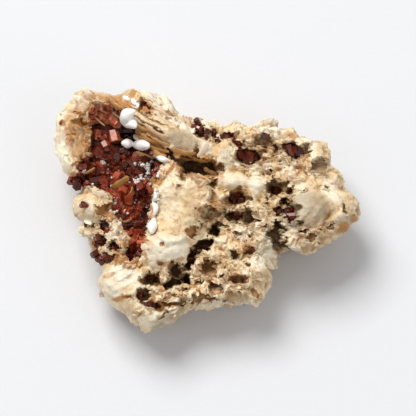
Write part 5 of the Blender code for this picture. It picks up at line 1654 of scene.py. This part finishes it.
def blade_finish():
    """Amber plates, each with its own tint, clouded with darker and paler patches."""
    amber = Finish("golden_blade")
    where = amber.place()
    tint = amber.field("tint")
    cloud = amber.noise(where, 500.0, 4.0)
    fine = amber.noise(where, 2600.0, 3.0)
    share = (tint + (cloud - 0.5) * 0.8).clipped()
    colour = amber.add("ShaderNodeValToRGB", {"stops": AMBERS}, {"Fac": share})
    relief = amber.bump(fine, 0.00012, 0.5)
    return amber.shade(base_color=colour, roughness=0.32 + 0.25 * cloud, normal=relief)


shapes = [blade(place, k) for k, place in enumerate(BLADES)]
mesh = outward(gathered("golden_blades", shapes))
add_field(mesh, "tint", np.repeat([place[6] for place in BLADES], len(shapes[0][0])))
mesh.shade_smooth()
new_piece("golden_blades", mesh, blade_finish())
print(len(BLADES), "blades")

# %% [markdown]
# ## Flakes
# Barite breaks into thin plates, and their edges make the ragged bright rims of the holes. The
# rock's grid can't fold over, so the flakes are pieces of their own: stacks of three uneven
# six-sided rings. Round each hole they stand on edge, and on the roughest patches they lie anyhow.

# %% Flakes on the rock
# Rings of a flake; then the least and the largest radius of each kind in millimetres; then, in
# units, the step round a rim, the net of loose flakes and the strip along the outline left free
FLAKE_HEIGHTS = (0.0, 0.5, 1.0)
FLAKE_SIZES = (0.78, 1.0, 0.70)
RIM_FLAKE = (0.30, 0.95)
LOOSE_FLAKE = (0.30, 1.10)
EDGE_FLAKE = (0.6, 1.5)
FLAKE_STEP = 1.7
FLAKE_CORNERS = 6
LOOSE_NET = 3.4
FLAKE_MARGIN = 3.0


def rim_places(table, chance):
    """Places round the rims of the holes, about one for every FLAKE_STEP units, with the bearing of
    each from its hole's middle."""
    places = []
    for u, v, along, across, turn in (hole[:5] for hole in table):
        count = int(math.pi * (along + across) / FLAKE_STEP)
        bearing = np.linspace(0.0, 2.0 * math.pi, count, endpoint=False) + 0.8 * chance.random(count)
        out = between(chance, 1.02, 1.40, count)
        du, dv = along * out * np.cos(bearing), across * out * np.sin(bearing)
        places.append(np.stack([*placed(u, v, du, dv, turn), bearing + math.radians(turn)]))
    return np.concatenate(places, axis=1)


def flake_mesh(name, u, v, radius, axis, raised, soaked, chance):
    """A mesh of flakes at picture places: each outline is six corners at uneven distances."""
    count, corners = len(u), (len(u), FLAKE_CORNERS)
    bearing = (np.arange(FLAKE_CORNERS) + 0.7 * chance.random(corners)) * 2.0 * math.pi / FLAKE_CORNERS
    reach = radius[:, None] * between(chance, 0.55, 1.10, corners)
    stretch = between(chance, 1.0, 1.9, (count, 1))
    flat = np.stack([np.cos(bearing) * reach * stretch, np.sin(bearing) * reach], axis=-1)
    thick = radius * between(chance, 0.18, 0.43, count)
    base = surface(u, v) + EYE * (raised * radius)[:, None] - axis * (0.5 * thick)[:, None]
    points, triangles, quads, owner = stacks(base, axis, flat, FLAKE_HEIGHTS, FLAKE_SIZES, thick)
    mesh = mesh_from_arrays(name, points, triangles, quads)
    mesh.shade_flat()
    stain = np.clip(patches(u, v, STAINS) * 0.8 + soaked * chance.random(count), 0.0, 1.0)
    add_field(mesh, "stain", stain[owner])
    # The ridge field gives each flake a painted highlight or a painted shade at random, and the pale
    # and grey patches carry their painted highlight and painted shade.
    add_field(mesh, "ridge", between(chance, 0.30, 0.80, count)[owner])
    add_field(mesh, "pale", patches(u, v, PALE_AND_HIGHLIT_PATCHES)[owner])
    add_field(mesh, "grey", patches(u, v, GREY_AND_SHADE_PATCHES)[owner])
    return mesh


def rim_flakes():
    """Plates round the holes, on edge and turned away from each hole's middle."""
    chance = np.random.default_rng(51)
    u, v, bearing = rim_places(PITS + FINE_PITS, chance)
    held = (hollow_depth(u, v) < 1.0) & (patches(u, v, SMOOTH) < 0.6)
    held &= inside_depth(u, v, OUTLINE) > FLAKE_MARGIN
    u, v, bearing = u[held], v[held], bearing[held]
    radius = between(chance, *RIM_FLAKE, len(u)) * MM
    lean = np.radians(between(chance, 35.0, 85.0, len(u)))
    axis = picture_lean(lean, bearing + 1.2 * (chance.random(len(u)) - 0.5))
    raised = between(chance, 0.1, 0.3, len(u))
    return flake_mesh("rim_flakes", u, v, radius, axis, raised, 0.25, chance), len(u)


def loose_flakes():
    """Plates on the roughest patches, leaning any way, where no hole is deep."""
    chance = np.random.default_rng(52)
    u, v = scattered((54, 88), (362, 330), LOOSE_NET, chance)
    held = chance.random(len(u)) < 0.45 * patches(u, v, CRAGS)
    held &= (hollow_depth(u, v) < -1.0) & (inside_depth(u, v, OUTLINE) > FLAKE_MARGIN)
    held &= top_height(u, v)[1] < 2.0
    u, v = u[held], v[held]
    radius = between(chance, *LOOSE_FLAKE, len(u), 1.5) * MM
    lean = np.radians(85.0 * chance.random(len(u)))
    axis = picture_lean(lean, FULL_TURN * chance.random(len(u)))
    raised = between(chance, 0.05, 0.15, len(u))
    return flake_mesh("loose_flakes", u, v, radius, axis, raised, 0.4, chance), len(u)


def edge_flakes():
    """Plates along the main hollow's edge, leaning over its crystals."""
    chance = np.random.default_rng(53)
    edge = np.array(HOLLOW + HOLLOW[:1], float)
    share = np.linspace(0.0, 1.0, len(edge))
    at = np.arange(0.0, 1.0, 0.0052)
    u = np.interp(at, share, edge[:, 0]) + 3.0 * (chance.random(len(at)) - 0.5)
    v = np.interp(at, share, edge[:, 1]) + 3.0 * (chance.random(len(at)) - 0.5)
    along = np.arctan2(np.gradient(v), np.gradient(u))
    held = (chance.random(len(u)) < 0.8) & (inside_depth(u, v, OUTLINE) > FLAKE_MARGIN)
    u, v, along = u[held], v[held], along[held]
    radius = between(chance, *EDGE_FLAKE, len(u), 1.5) * MM
    lean = np.radians(between(chance, 25.0, 75.0, len(u)))
    axis = picture_lean(lean, along + 1.6 + 0.8 * (chance.random(len(u)) - 0.5))
    return flake_mesh("edge_flakes", u, v, radius, axis, 0.0 * u, 0.75, chance), len(u)


for made in (rim_flakes, loose_flakes, edge_flakes):
    mesh, count = made()
    new_piece(mesh.name, mesh, BARITE)
    print(mesh.name, count)
